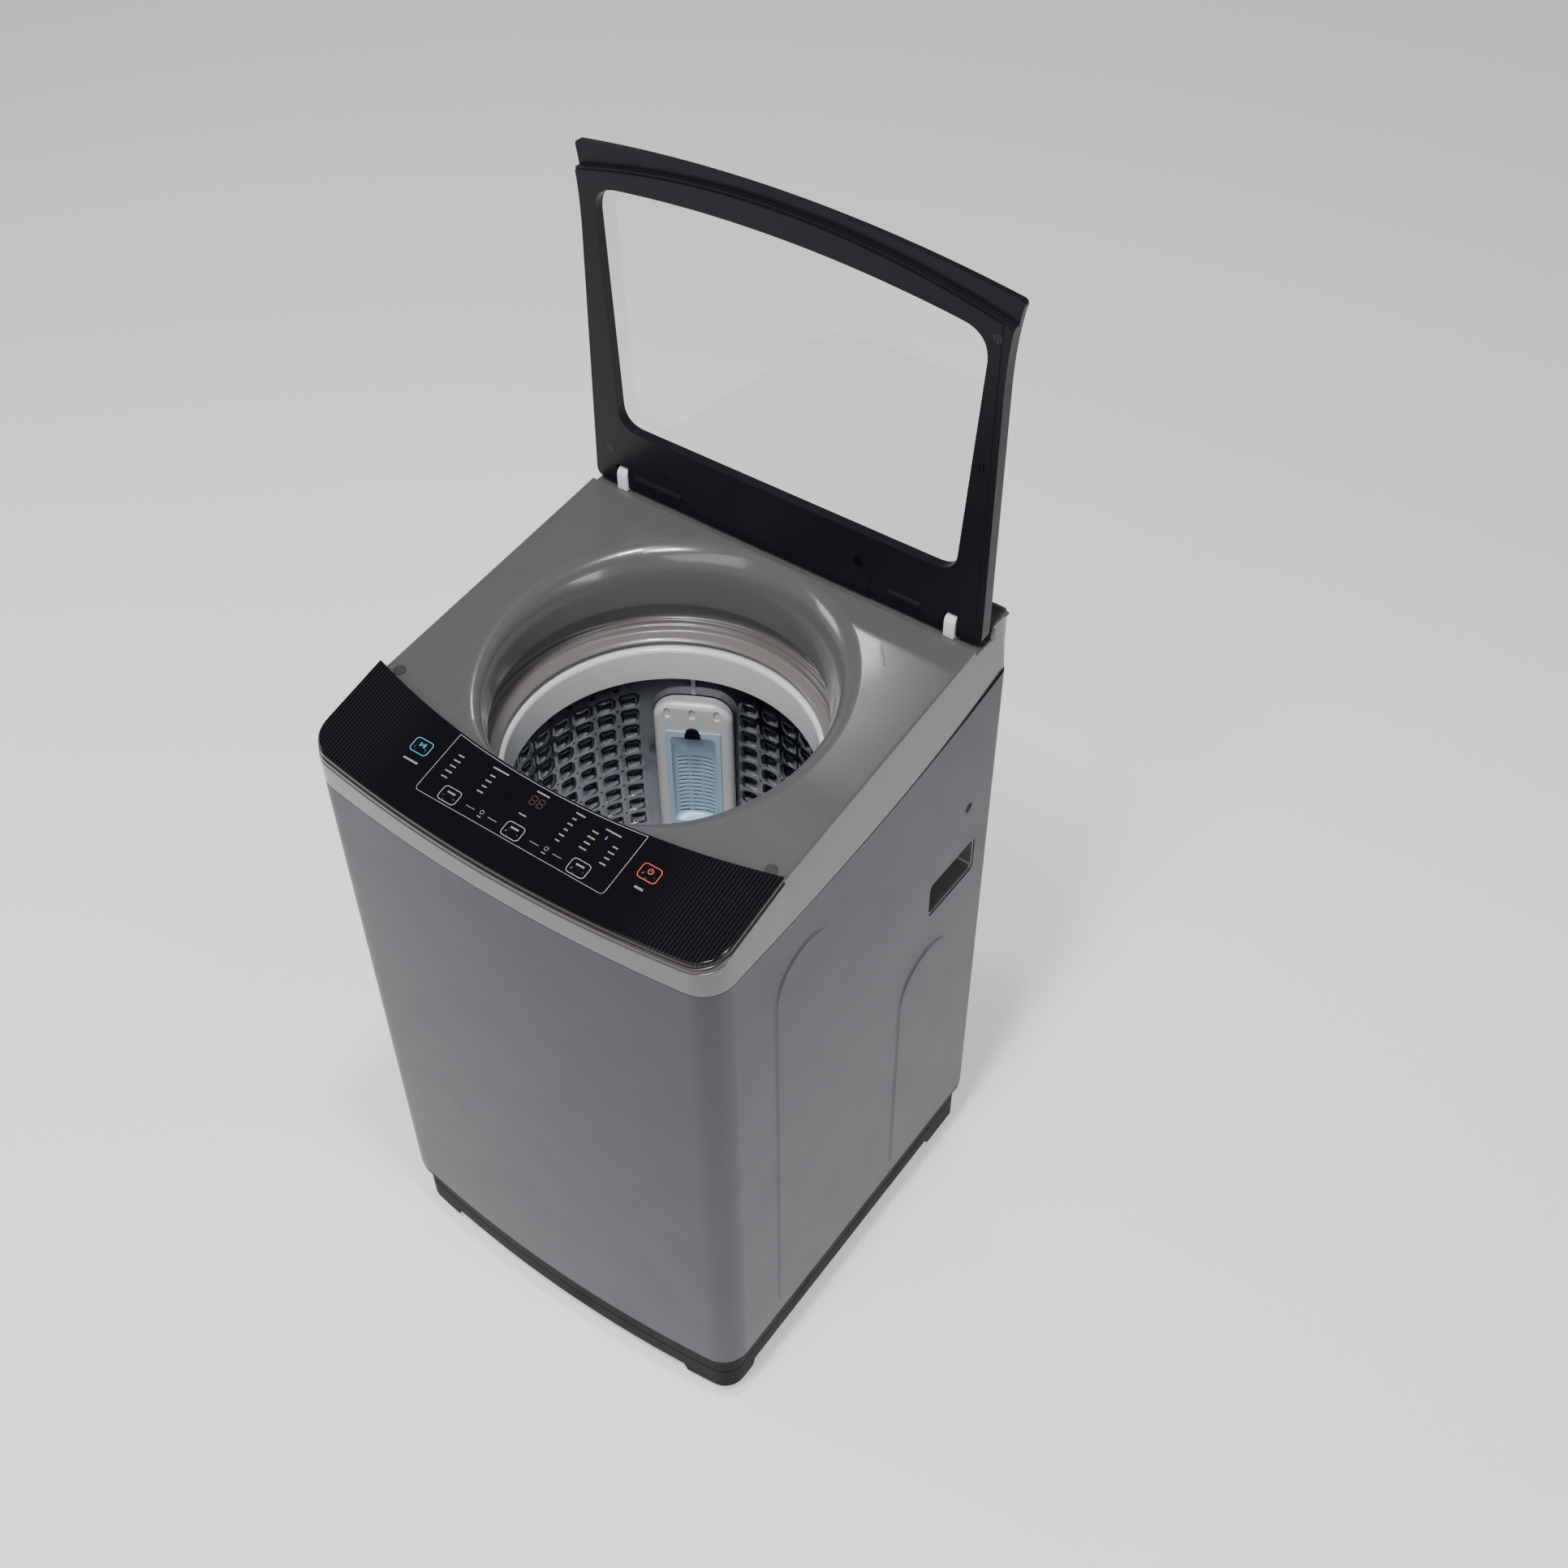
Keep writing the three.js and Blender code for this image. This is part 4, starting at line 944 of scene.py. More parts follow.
# ---------------------------------------------------------------- casing
@dataclass(frozen=True)
class Plan:
    """The casing's plan: a bowed front, large front corners and small rear ones."""

    half_width: float = 0.275
    half_depth: float = 0.285
    front_radius: float = 1.84
    corner: float = 0.038
    rear_corner: float = 0.014

    def outline(self, inset: float = 0.0, fine: int = 8) -> list[Point]:
        """The plan's outline moved inwards.

        Args:
            inset: How far it is moved.
            fine: Chords in each corner.

        Returns:
            The outline, anticlockwise from the right side's rear corner.
        """
        side, rear = self.half_width - inset, self.half_depth - inset
        bow, middle = self.front_radius - inset, self.front_radius - self.half_depth
        corner, rear_corner = max(self.corner - inset, 3 * MM), max(self.rear_corner - inset, MM)
        corner_x = side - corner
        corner_y = middle - math.sqrt((bow - corner) ** 2 - corner_x**2)
        meet = math.degrees(math.atan2(corner_y - middle, corner_x))
        return [
            *arc((side - rear_corner, rear - rear_corner), rear_corner, 0, 90, fine // 2),
            *arc((rear_corner - side, rear - rear_corner), rear_corner, 90, 180, fine // 2),
            *arc((-corner_x, corner_y), corner, 180, 180 - meet, fine),
            *arc((0, middle), bow, 180 - meet, 360 + meet, 4 * fine)[1:-1],
            *arc((corner_x, corner_y), corner, 360 + meet, 360, fine),
        ]

    def reach(self, outline: Sequence[Point], turn: float) -> float:
        """How far an outline is from the middle along a ray.

        Args:
            outline: The outline.
            turn: The ray's direction, in radians from +X.

        Returns:
            The distance.
        """
        ray = (math.cos(turn), math.sin(turn))
        for (ax, ay), (bx, by) in zip(outline, [*outline[1:], outline[0]]):
            side_a, side_b = ray[0] * ay - ray[1] * ax, ray[0] * by - ray[1] * bx
            if side_a <= 0 < side_b and side_b - side_a > 1e-12:
                share = side_a / (side_a - side_b)
                x, y = ax + (bx - ax) * share, ay + (by - ay) * share
                if x * ray[0] + y * ray[1] > 0:
                    return math.hypot(x, y)
        raise ValueError(f"no outline along {turn}")


@dataclass(frozen=True)
class Heights:
    """The heights that the casing's pieces share."""

    top: float = 0.970
    seam_front: float = 0.848
    seam_rear: float = 0.892
    seam_rise: float = -0.150
    half_depth: float = 0.285
    cover_slope: float = math.radians(6.3)
    panel_slope: float = math.radians(14)
    panel_front: float = 0.893
    panel_arc: Point = (0.863, 1.043)

    def cover(self, y: float) -> float:
        """The top cover's sloping plane."""
        return self.top - 9.3 * MM + (y - 0.252) * math.tan(self.cover_slope)

    def panel(self, y: float) -> float:
        """The control panel's face."""
        return self.panel_front + (y + self.half_depth) * math.tan(self.panel_slope)

    def panel_rear(self, x: float) -> float:
        """The Y of the control panel's curved rear edge."""
        centre, radius = self.panel_arc
        return centre - math.sqrt(radius**2 - x**2)

    def seam(self, y: float) -> float:
        """The seam between cabinet and top cover: level in front, rising to the rear."""
        if y <= self.seam_rise:
            return self.seam_front
        pull, end = self.half_depth * 0.35, self.half_depth + 5 * MM
        a, b, c = self.seam_rise - 2 * pull + end, 2 * (pull - self.seam_rise), self.seam_rise - y
        share = (-b + math.sqrt(b * b - 4 * a * c)) / (2 * a)
        return self.seam_front + (self.seam_rear - self.seam_front) * share**2


PLAN = Plan()
HEIGHTS = Heights()


@dataclass
class Casing:
    """The painted wrap with its stamped sides, the hand-holds, the base and the feet."""

    wardrobe: Wardrobe
    sheet: float = 1 * MM
    bottom: float = 0.098
    stamp_depth: float = 2.2 * MM
    stamp_ramp: float = 4.5 * MM
    arches: tuple[tuple[float, float, float], ...] = ((-0.108, 0.116, 0.797), (0.150, 0.124, 0.527))
    hand_hold: tuple[Point, Point] = ((0.145, 0.585), (0.245, 0.641))
    plug: Point = (0.221, 0.712)

    def ribbed_wall(self, side: int) -> bpy.types.Object:
        """The two tall arched stampings of one side, as a solid to join to the wrap.

        Args:
            side: 1 for the right side, -1 for the left.

        Returns:
            The stampings.
        """
        made = []
        for middle, width, top in self.arches:
            half = width / 2
            outline = [
                (middle - half, self.bottom + 0.03),
                (middle + half, self.bottom + 0.03),
                (middle + half, top - half),
                *arc((middle, top - half), half, 0, 180, 20)[1:-1],
                (middle - half, top - half),
            ]
            low = side * (PLAN.half_width - self.sheet / 2)
            stamp = Bench.prism(outline, low, low + side * self.stamp_depth, Drawn.SIDE)
            shrink = 1 - self.stamp_ramp / half
            for vertex in stamp.data.vertices:
                if abs(vertex.co.x) > PLAN.half_width:
                    vertex.co.y = middle + (vertex.co.y - middle) * shrink
                    arched = max(vertex.co.z - (top - half), 0) * (1 - shrink)
                    vertex.co.z -= arched if vertex.co.z > 0.3 else -self.stamp_ramp
            Bench.closed(stamp)
            made.append(stamp)
        return Bench.merged(made)

    def wrap(self) -> None:
        """The steel wrap: plan outline, seam on top, stamped sides, cut hand-holds and an open rear."""
        body = Bench.prism(PLAN.outline(fine=12), self.bottom, 0.93)
        for side in (1, -1):
            Bench.combined(body, self.ribbed_wall(side), "UNION")
        body = Bench.rounded(body, 1.8 * MM, 3, 60)
        Bench.cut(body, Bench.prism(PLAN.outline(self.sheet), 0, 1.2))
        steps = 24
        ys = [HEIGHTS.seam_rise + (0.3 - HEIGHTS.seam_rise) * i / steps for i in range(steps + 1)]
        above = [(-0.4, HEIGHTS.seam_front), *((y, HEIGHTS.seam(y)) for y in ys), (0.3, 1.2), (-0.4, 1.2)]
        Bench.cut(body, Bench.prism(above, -0.4, 0.4, Drawn.SIDE))
        flange = PLAN.half_width - 28 * MM
        opening = [(-flange, self.bottom + 24 * MM), (flange, self.bottom + 24 * MM)]
        opening += [(flange, HEIGHTS.seam_front - 14 * MM), (-flange, HEIGHTS.seam_front - 14 * MM)]
        Bench.cut(body, Bench.prism(opening, -0.5, -0.1, Drawn.FRONT))
        Bench.cut(body, Bench.prism(rounded_box(*self.hand_hold, 8 * MM), -0.4, 0.4, Drawn.SIDE))
        Bench.cut(body, Bench.prism(arc(self.plug, 6.8 * MM, 0, 345, 23), 0, 0.4, Drawn.SIDE))
        self.wardrobe.dress(body, "cabinet_wrap", Slot.painted_steel, "cabinet", ["cabinet_shell"])

    def hand_hold_cup(self, name: str, side: int) -> None:
        """A moulded hand-hold: a sloping pocket with a rounded rim behind the wrap's cut-out.

        Args:
            name: left or right.
            side: 1 for the right side, -1 for the left.
        """
        node = "side_handle_" + name
        low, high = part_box(node)
        face = PLAN.half_width - self.sheet - 0.3 * MM
        depth = high.x - low.x
        cup = Bench.prism(
            rounded_box((low.y, low.z), (high.y, high.z), 9 * MM), face - depth, face, Drawn.SIDE
        )
        pocket = Bench.prism(
            rounded_box(*self.hand_hold, 8 * MM), face - depth + 2 * MM, face + 0.01, Drawn.SIDE
        )
        with Bench.editing(pocket):
            bpy.ops.mesh.select_all(action="DESELECT")
        Bench.pick_faces(pocket, lambda middle, normal: normal.x < -0.9)
        with Bench.editing(pocket, everything=False):
            bpy.ops.transform.resize(value=(1, 0.9, 0.62))
        Bench.cut(cup, pocket)
        Bench.rounded(cup, 1.2 * MM, 3, 40)
        if side < 0:
            cup.data.transform(Matrix.Scale(-1, 4, (1, 0, 0)))
            cup.data.flip_normals()
        self.wardrobe.dress(cup, "hand_hold_" + name, Slot.cover_plastic, "cabinet", [node])

    def base(self) -> None:
        """The base: a stepped ring, raised between its four corners, with a fine line along each side."""
        low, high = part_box("base_frame")
        top = high.z
        ring = Bench.prism(PLAN.outline(9 * MM, 10), low.z, top)
        ledge = Bench.prism(PLAN.outline(1.5 * MM, 10), top - 8 * MM, top)
        Bench.combined(ring, ledge, "UNION")
        groove = Bench.prism(PLAN.outline(7 * MM, 10), 0.055, 0.0565)
        Bench.cut(groove, Bench.prism(PLAN.outline(10.2 * MM, 10), 0, 0.2))
        Bench.cut(ring, groove)
        Bench.cut(ring, Bench.prism(PLAN.outline(54 * MM, 10), 0, 0.2))
        rise, drop = 30 * MM, 16 * MM
        for drawn, half in ((Drawn.FRONT, PLAN.half_width), (Drawn.SIDE, PLAN.half_depth)):
            reach = half - 80 * MM
            gap = [(-reach - drop, -0.01), (reach + drop, -0.01), (reach, rise), (-reach, rise)]
            Bench.cut(ring, Bench.prism(gap, -0.4, 0.4, drawn))
        for x in (-1, 1):
            for y in (-1, 1):
                place = (x * 0.228, y * 0.232)
                boss = Bench.prism(arc(place, 24 * MM, 0, 350, 35), low.z, 0.064)
                inner = Bench.prism(PLAN.outline(12 * MM), 0, 0.2)
                Bench.combined(ring, Bench.combined(boss, inner, "INTERSECT"), "UNION")
                Bench.cut(ring, Bench.prism(arc(place, 5.3 * MM, 0, 345, 23), 0, 0.055))
        Bench.rounded(ring, 1.5 * MM, 3, 40)
        self.wardrobe.dress(ring, "base_moulding", Slot.dark_plastic, "cabinet", ["base_frame"])

    def feet(self) -> None:
        """The four feet: a ribbed pad with a domed edge on a threaded stud."""
        for name in ("front_left", "front_right", "rear_left", "rear_right"):
            node = "foot_" + name
            low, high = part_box(node)
            x, y = (low.x + high.x) / 2, (low.y + high.y) / 2
            thick = 10 * MM if name == "front_left" else 17.7 * MM
            pad = [(0, 0), (0.015, 0), (0.0155, 0.8 * MM), (0.0175, 0.8 * MM), (0.018, 0), (0.0195, 0.5 * MM)]
            pad += [
                (0.021, 3 * MM), (0.0205, 4.5 * MM), (0.0185, thick - 1 * MM), (0.0175, thick), (0, thick)
            ]
            foot = Bench.turned(pad, 48)
            pitch, turns = 1.6 * MM, int((high.z - thick - 1 * MM) / (1.6 * MM))
            stud = [(0, thick - MM)]
            for turn in range(turns):
                base = thick + turn * pitch
                stud += [(4.4 * MM, base), (5 * MM, base + 0.4 * pitch), (5 * MM, base + 0.6 * pitch)]
            stud += [(4.2 * MM, high.z), (0, high.z)]
            foot = Bench.merged([foot, Bench.turned(stud, 24)])
            foot.data.transform(Matrix.Translation((x, y, 0)))
            body = "levelling_foot" if name == "front_left" else "cabinet"
            self.wardrobe.dress(foot, "levelling_foot_" + name, Slot.rubber, body, [node])

    def rear_wall(self) -> None:
        """The rear panel with stamped ribs and a row of vents."""
        low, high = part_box("rear_panel")
        wall = Bench.prism(
            rounded_box((low.x, low.z), (high.x, high.z), 4 * MM), -high.y, -low.y, Drawn.FRONT
        )
        for x, z, radius in ((-0.180, 0.140, 14.4 * MM), (0.200, 0.820, 9.4 * MM)):
            Bench.cut(wall, Bench.prism(arc((x, z), radius, 0, 350, 35), -0.4, 0.4, Drawn.FRONT))
        for row in range(8):
            z = 0.62 + row * 0.018
            slot = Bench.prism(rounded_box((-0.07, z), (0.07, z + 5 * MM), 2.4 * MM), -0.4, 0.4, Drawn.FRONT)
            Bench.cut(wall, slot)
        ribs = []
        for x in (-0.17, 0.17):
            outline = rounded_box((x - 0.03, 0.24), (x + 0.03, 0.76), 0.028, 10)
            ribs.append(Bench.prism(outline, -high.y + 0.2 * MM, -high.y - 0.9 * MM, Drawn.FRONT))
        for rib in ribs:
            Bench.closed(rib)
            Bench.combined(wall, rib, "UNION")
        Bench.rounded(wall, 0.4 * MM, 2, 50)
        self.wardrobe.dress(wall, "rear_wall_panel", Slot.painted_steel, "cabinet", ["rear_panel"])

    def build(self) -> None:
        """Builds the casing."""
        self.wrap()
        self.hand_hold_cup("left", -1)
        self.hand_hold_cup("right", 1)
        self.base()
        self.feet()
        self.rear_wall()


@dataclass
class TopCover:
    """The glossy top cover: one moulding with the dished mouth, the lid's trough, rear deck and apron."""

    wardrobe: Wardrobe
    wall: float = 3 * MM
    lean: float = 8 * MM
    mouth: tuple[float, float, float] = (0.188, 0.020, 0.884)
    trough: tuple[float, float, float] = (0.2175, 0.252, 0.950)
    deck: tuple[float, float] = (0.966, 0.279)
    seat_depth: float = 15.6 * MM
    outline: list[Point] = field(default_factory=lambda: PLAN.outline(fine=12))

    def edge(self, turn: float, height: float) -> float:
        """How far the leaning side is from the middle along a ray, at a height."""
        lean = max(height - HEIGHTS.seam_front, 0) / (0.966 - HEIGHTS.seam_front) * self.lean
        side = (PLAN.half_width - lean) / max(abs(math.cos(turn)), 1e-6)
        return min(PLAN.reach(self.outline, turn), side)

    def keys(self, turn: float) -> list[tuple[float, float, float]]:
        """The cover's section along a ray, from the mouth's lower edge out and down to the seam.

        Args:
            turn: The ray's direction, in radians from +X.

        Returns:
            Distance, height and rounding of each corner; as many for every ray.
        """
        sine = math.sin(turn)
        radius, flare, low = self.mouth
        rim = radius + flare
        for _ in range(4):
            share = min(max((HEIGHTS.cover(rim * sine) - low) / 0.066, 0), 1)
            rim = radius + flare * share**2
        keys = [
            (radius, low - 3 * MM, 0),
            (radius, low, 2 * MM),
            (radius + (rim - radius) * 0.35, low + (HEIGHTS.cover(rim * sine) - low) * 0.6, 12 * MM),
            (rim, HEIGHTS.cover(rim * sine), 17 * MM),
        ]
        if sine < 0 and self.panel_reach(turn) < self.edge(turn, 0.91):
            keys += self.front_keys(turn)
        else:
            keys += self.rear_keys(turn)
        out, height = keys[-1][:2]
        seam = HEIGHTS.seam(out * sine) + 0.5 * MM
        foot = self.edge(turn, seam)
        return [*keys, (foot, seam, 1.2 * MM), (foot - 1.6 * MM, seam, 0)]

    def panel_reach(self, turn: float) -> float:
        """How far the panel's curved rear edge is from the middle along a ray."""
        centre, radius = HEIGHTS.panel_arc
        radius -= 0.6 * MM
        return centre * math.sin(turn) + math.sqrt(radius**2 - (centre * math.cos(turn)) ** 2)

    def front_keys(self, turn: float) -> list[tuple[float, float, float]]:
        """The section from the plane over the panel's seat to the apron's top."""
        sine = math.sin(turn)
        step = self.panel_reach(turn)
        end = self.edge(turn, HEIGHTS.panel(-0.25) - self.seat_depth)
        seat = [step + (end - step) * share for share in (0, 0.2, 0.4, 0.6, 0.8, 1)]
        drop = [(d, HEIGHTS.panel(d * sine) - self.seat_depth, 1.5 * MM) for d in seat]
        return [(step, HEIGHTS.cover(step * sine), 2 * MM), *drop]

    def rear_keys(self, turn: float) -> list[tuple[float, float, float]]:
        """The section from the plane over the trough, deck and lip, or to the side where it ends first."""
        sine = math.sin(turn)
        front, rear, floor = self.trough
        deck, lip = self.deck
        keys, level = [], HEIGHTS.cover
        for y, after in ((front, floor), (rear, deck), (lip, HEIGHTS.top)):
            if sine * self.edge(turn, floor) <= y:
                break
            keys += [(y / sine, level(y), 2.5 * MM), (y / sine, after, 2.5 * MM)]
            level = lambda _, height=after: height  # noqa: E731
        end = self.edge(turn, level(sine * self.edge(turn, floor)))
        return keys + [(end, level(sine * end), 3 * MM)] * (7 - len(keys))

    def directions(self) -> list[float]:
        """The rays that the cover is drawn along: even ones, all corners, and both sides of each step."""
        rays = [2 * math.pi * i / 160 for i in range(160)]
        rays += [math.atan2(y, x) % (2 * math.pi) for x, y in self.outline]
        for y in (self.trough[0], self.trough[1], self.deck[1]):
            turn = self.crossing(lambda t, y=y: self.edge(t, 0.95) * math.sin(t) - y, 0.2, 1.3)
            rays += [t + e for t in (turn, math.pi - turn) for e in (-1e-4, 1e-4)]
        turn = self.crossing(lambda t: self.edge(t, 0.91) - self.panel_reach(t), -0.1, -0.9)
        rays += [t + e for t in (turn % (2 * math.pi), math.pi - turn) for e in (-1e-4, 1e-4)]
        rays = sorted(rays)
        return [t for i, t in enumerate(rays) if i == 0 or t - rays[i - 1] > 5e-5]

    @staticmethod
    def crossing(height: Callable[[float], float], low: float, high: float) -> float:
        """Where a function crosses zero between two values."""
        rising = height(high) > height(low)
        for _ in range(40):
            middle = (low + high) / 2
            if (height(middle) > 0) == rising:
                high = middle
            else:
                low = middle
        return low

    def build(self) -> None:
        """Builds the cover and its bumpers."""
        rays = self.directions()
        lines = [softened(self.keys(turn), 4) for turn in rays]

        def place(column: int, row: int) -> tuple[float, float, float]:
            """The cover's point on a ray."""
            ray = column % len(rays)
            distance, height = lines[ray][row]
            return distance * math.cos(rays[ray]), distance * math.sin(rays[ray]), height

        cover = Bench.mapped(len(rays), len(lines[0]) - 1, place)
        Bench.closed(cover, 2e-6)
        outward = sum(face.normal.z * face.area for face in cover.data.polygons)
        if outward < 0:
            cover.data.flip_normals()
        Bench.applied(cover, "SOLIDIFY", thickness=self.wall, offset=-1)
        self.wardrobe.dress(cover, "top_cover_moulding", Slot.cover_plastic, "cabinet", ["top_cover"], 40)
        self.ridges()
        self.bumpers()

    def ridges(self) -> None:
        """The two short moulded ridges that end the bowl's soft rim."""
        made = []
        for x, y in ((-0.178, -0.126), (0.187, 0.160)):
            turn, reach = math.degrees(math.atan2(y, x)), math.hypot(x, y)
            outline = [
                *arc((0, 0), reach, turn - 4, turn + 4, 12),
                *arc((0, 0), reach - 3 * MM, turn + 3, turn - 3, 12),
            ]
            ridge = Bench.rounded(Bench.prism(outline, -5 * MM, 0.6 * MM), 0.5 * MM, 2, 50)
            for vertex in ridge.data.vertices:
                vertex.co.z += HEIGHTS.cover(vertex.co.y)
            made.append(ridge)
        self.wardrobe.dress(Bench.merged(made), "bowl_end_ridges", Slot.cover_plastic, "cabinet")

    def bumpers(self) -> None:
        """The two rubber bumpers that the lid closes onto."""
        for name in ("left", "right"):
            low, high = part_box("cover_bumper_" + name)
            section = [(0, -0.006), (3.6 * MM, -0.006), (3.6 * MM, 0.4 * MM), (7 * MM, 0.4 * MM)]
            section += [
                (7 * MM, 0.9 * MM),
                (6.4 * MM, 1.4 * MM),
                (4 * MM, 1.6 * MM),
                (3.2 * MM, 1.1 * MM),
                (0, 1.1 * MM),
            ]
            pad = Bench.turned(section, 32)
            x, y = (low.x + high.x) / 2, (low.y + high.y) / 2
            tilt = Matrix.Rotation(HEIGHTS.cover_slope, 4, "X")
            pad.data.transform(Matrix.Translation((x, y, HEIGHTS.cover(y))) @ tilt)
            self.wardrobe.dress(pad, "lid_bumper_" + name, Slot.rubber, "cabinet", ["cover_bumper_" + name])


# ---------------------------------------------------------------- control panel
@dataclass
class ControlPanel:
    """The black panel with its buttons, signs and plain legends, and the bronze trim under it."""

    wardrobe: Wardrobe
    inset: float = 1.5 * MM
    thick: float = 8 * MM
    slack: float = 0.4 * MM
    size: Point = (0.025, 0.019)
    proud: float = 0.7 * MM
    row: float = 0.046
    buttons: tuple[tuple[str, float, float, Ink], ...] = (
        ("start", -0.154, 0.077, Ink.cyan),
        ("process", -0.087, 0.046, Ink.white),
        ("custom", 0.0, 0.046, Ink.white),
        ("program", 0.087, 0.046, Ink.white),
        ("power", 0.154, 0.077, Ink.orange),
    )
    place: Matrix = field(
        default_factory=lambda: Matrix.Translation((0, -HEIGHTS.half_depth, HEIGHTS.panel_front))
        @ Matrix.Rotation(HEIGHTS.panel_slope, 4, "X")
    )

    def outline(self, inset: float, back: float = 0.0) -> list[Point]:
        """The panel's plan: the casing's front and the curved rear edge.

        Args:
            inset: How far the front and sides are moved inwards.
            back: How far the rear edge is moved to the front.

        Returns:
            The outline.
        """
        side = PLAN.half_width - inset
        corner = HEIGHTS.panel_rear(side) - back
        front = [point for point in PLAN.outline(inset, 12) if point[1] < corner - MM]
        xs = [side - 2 * side * i / 48 for i in range(49)]
        return [*front, *((x, HEIGHTS.panel_rear(x) - back) for x in xs)]

    def slab(self, outline: Sequence[Point], low: float, high: float) -> bpy.types.Object:
        """Raises a plan outline between two heights over the panel's sloping face."""
        piece = Bench.prism(outline, low, high)
        for vertex in piece.data.vertices:
            vertex.co.z += HEIGHTS.panel(vertex.co.y)
        return piece

    def flat(self, outline: Sequence[Point], low: float, high: float) -> bpy.types.Object:
        """Raises an outline of (x, distance from the front) square to the panel's face."""
        stretch = 1 / math.cos(HEIGHTS.panel_slope)
        piece = Bench.prism([(x, y * stretch) for x, y in outline], low, high)
        piece.data.transform(self.place)
        return piece

    def mark(self, x: float, y: float, half: Point, radius: float, high: float) -> bpy.types.Object:
        """A small printed mark with round corners, about its middle."""
        outline = rounded_box((x - half[0], y - half[1]), (x + half[0], y + half[1]), radius)
        return self.flat(outline, 0, high)

    def ring(self, outer: Sequence[Point], inner: Sequence[Point], low: float) -> bpy.types.Object:
        """A thin printed line between two outlines."""
        return Bench.cut(self.flat(outer, low, low + 0.16 * MM), self.flat(inner, low - MM, low + MM))

    def around(self, x: float, y: float, grow: float, radius: float) -> list[Point]:
        """A button's outline, grown."""
        across, deep = self.size[0] / 2 + grow, (self.size[1] / 2 + grow) * math.cos(HEIGHTS.panel_slope)
        return rounded_box((x - across, y - deep), (x + across, y + deep), radius)

    def face(self) -> None:
        """The panel's face with its openings, and the trim below it."""
        face = self.slab(self.outline(self.inset), -self.thick, 0)
        Bench.rounded(face, 2.4 * MM, 4, 50)
        for _, x, y, _ in self.buttons:
            Bench.cut(face, self.flat(self.around(x, y, self.slack, 5 * MM), -0.04, 0.02))
        window = rounded_box((-0.0343, 0.0731), (0.0343, 0.0989), 2 * MM)
        Bench.cut(face, self.flat(window, -1.9 * MM, 0.01))
        self.wardrobe.dress(face, "panel_face", Slot.black_gloss, "cabinet", ["control_fascia"])
        top = -self.thick - 0.3 * MM
        trim = self.slab(self.outline(0.6 * MM), top - 7 * MM, top)
        Bench.rounded(trim, 2 * MM, 3, 50)
        Bench.cut(trim, self.slab(self.outline(13.6 * MM, 13 * MM), top - 0.02, top + 0.02))
        self.wardrobe.dress(trim, "panel_trim", Slot.bronze_trim, "cabinet", ["fascia_trim"])

    def bars(self, x: float, y: float, count: int, height: float, level: float = 0.0) -> bpy.types.Object:
        """A plain legend: a row of short bars.

        Args:
            x: Its middle.
            y: Its middle's distance from the front.
            count: Number of bars.
            height: Their height.
            level: The surface that they are printed on, over the panel's face.

        Returns:
            The bars as one object.
        """
        wide, pitch = height * 0.62, height * 0.9
        start = x - (count - 1) * pitch / 2 - wide / 2
        outline = [(start, y - height / 2), (start + wide, y - height / 2)]
        outline += [(start + wide, y + height / 2), (start, y + height / 2)]
        bar = self.flat(outline, level - 0.02 * MM, level + 0.1 * MM)
        return Bench.repeated(bar, count, (pitch, 0, 0))

    def legends(self) -> None:
        """The printed box, the legends in it, the dim digits and the captions."""
        box = []
        for shrink in (0, 0.6 * MM):
            low, high = (-0.127 + shrink, 0.0345 + shrink), (0.127 - shrink, 0.130)
            outline = self.flat(
                rounded_box(low, high, 5 * MM - shrink), -0.02 * MM, (0.1 + shrink * 1e3) * MM
            )
            region = self.outline(0.02, (3 * MM + shrink))
            box.append(Bench.combined(outline, self.slab(region, -0.02, 0.02), "INTERSECT"))
        box[1].data.transform(Matrix.Translation((0, 0, -0.4 * MM)))
        pale = [Bench.cut(box[0], box[1])]
        for side in (-1, 1):
            icon = (side * 0.0435, self.row + 1.5 * MM)
            pale.append(self.ring(arc(icon, 2.4 * MM, 0, 345, 23), arc(icon, 1.9 * MM, 0, 345, 23), 0))
            pale.append(self.bars(icon[0], self.row - 4 * MM, 5, 1.1 * MM))
            for reach in (-1, 1):
                line = (icon[0] + reach * 0.015, 0.04605)
                pale.append(self.mark(*line, (6 * MM, 0.25 * MM), 0.2 * MM, 0.1 * MM))
        for x, count in ((-0.058, 14), (0.0, 11), (0.050, 8), (0.093, 13)):
            pale.append(self.bars(x, 0.0955, count, 1.7 * MM))
        for x, rows, count, start in (
            (-0.108, 5, 6, 0.089),
            (-0.062, 4, 5, 0.0865),
            (0.047, 5, 4, 0.0885),
            (0.076, 4, 6, 0.087),
            (0.105, 4, 5, 0.083),
        ):
            pale += [self.bars(x, start - 7 * MM * r, count + (r % 2), 1.5 * MM) for r in range(rows)]
        pale.append(self.bars(-0.004, 0.066, 8, 1.4 * MM))
        pale.append(self.bars(-0.154, 0.0585, 10, 2.2 * MM))
        pale.append(self.bars(0.154, 0.0585, 5, 2.4 * MM))
        self.wardrobe.dress(Bench.merged(pale), "panel_legends", Ink.white, "cabinet")
        segments = []
        for digit in (-5 * MM, 5 * MM):
            flat = [(digit, level * 5 * MM, (2.6 * MM, 0.5 * MM)) for level in (-1, 0, 1)]
            upright = [
                (digit + across * 3.3 * MM, level * 2.5 * MM, (0.5 * MM, 1.9 * MM))
                for across in (-1, 1)
                for level in (-1, 1)
            ]
            segments += [self.mark(x, 0.085 + y, half, 0.4 * MM, 0.08 * MM) for x, y, half in flat + upright]
        self.wardrobe.dress(Bench.merged(segments), "display_digits", Ink.faint, "cabinet")
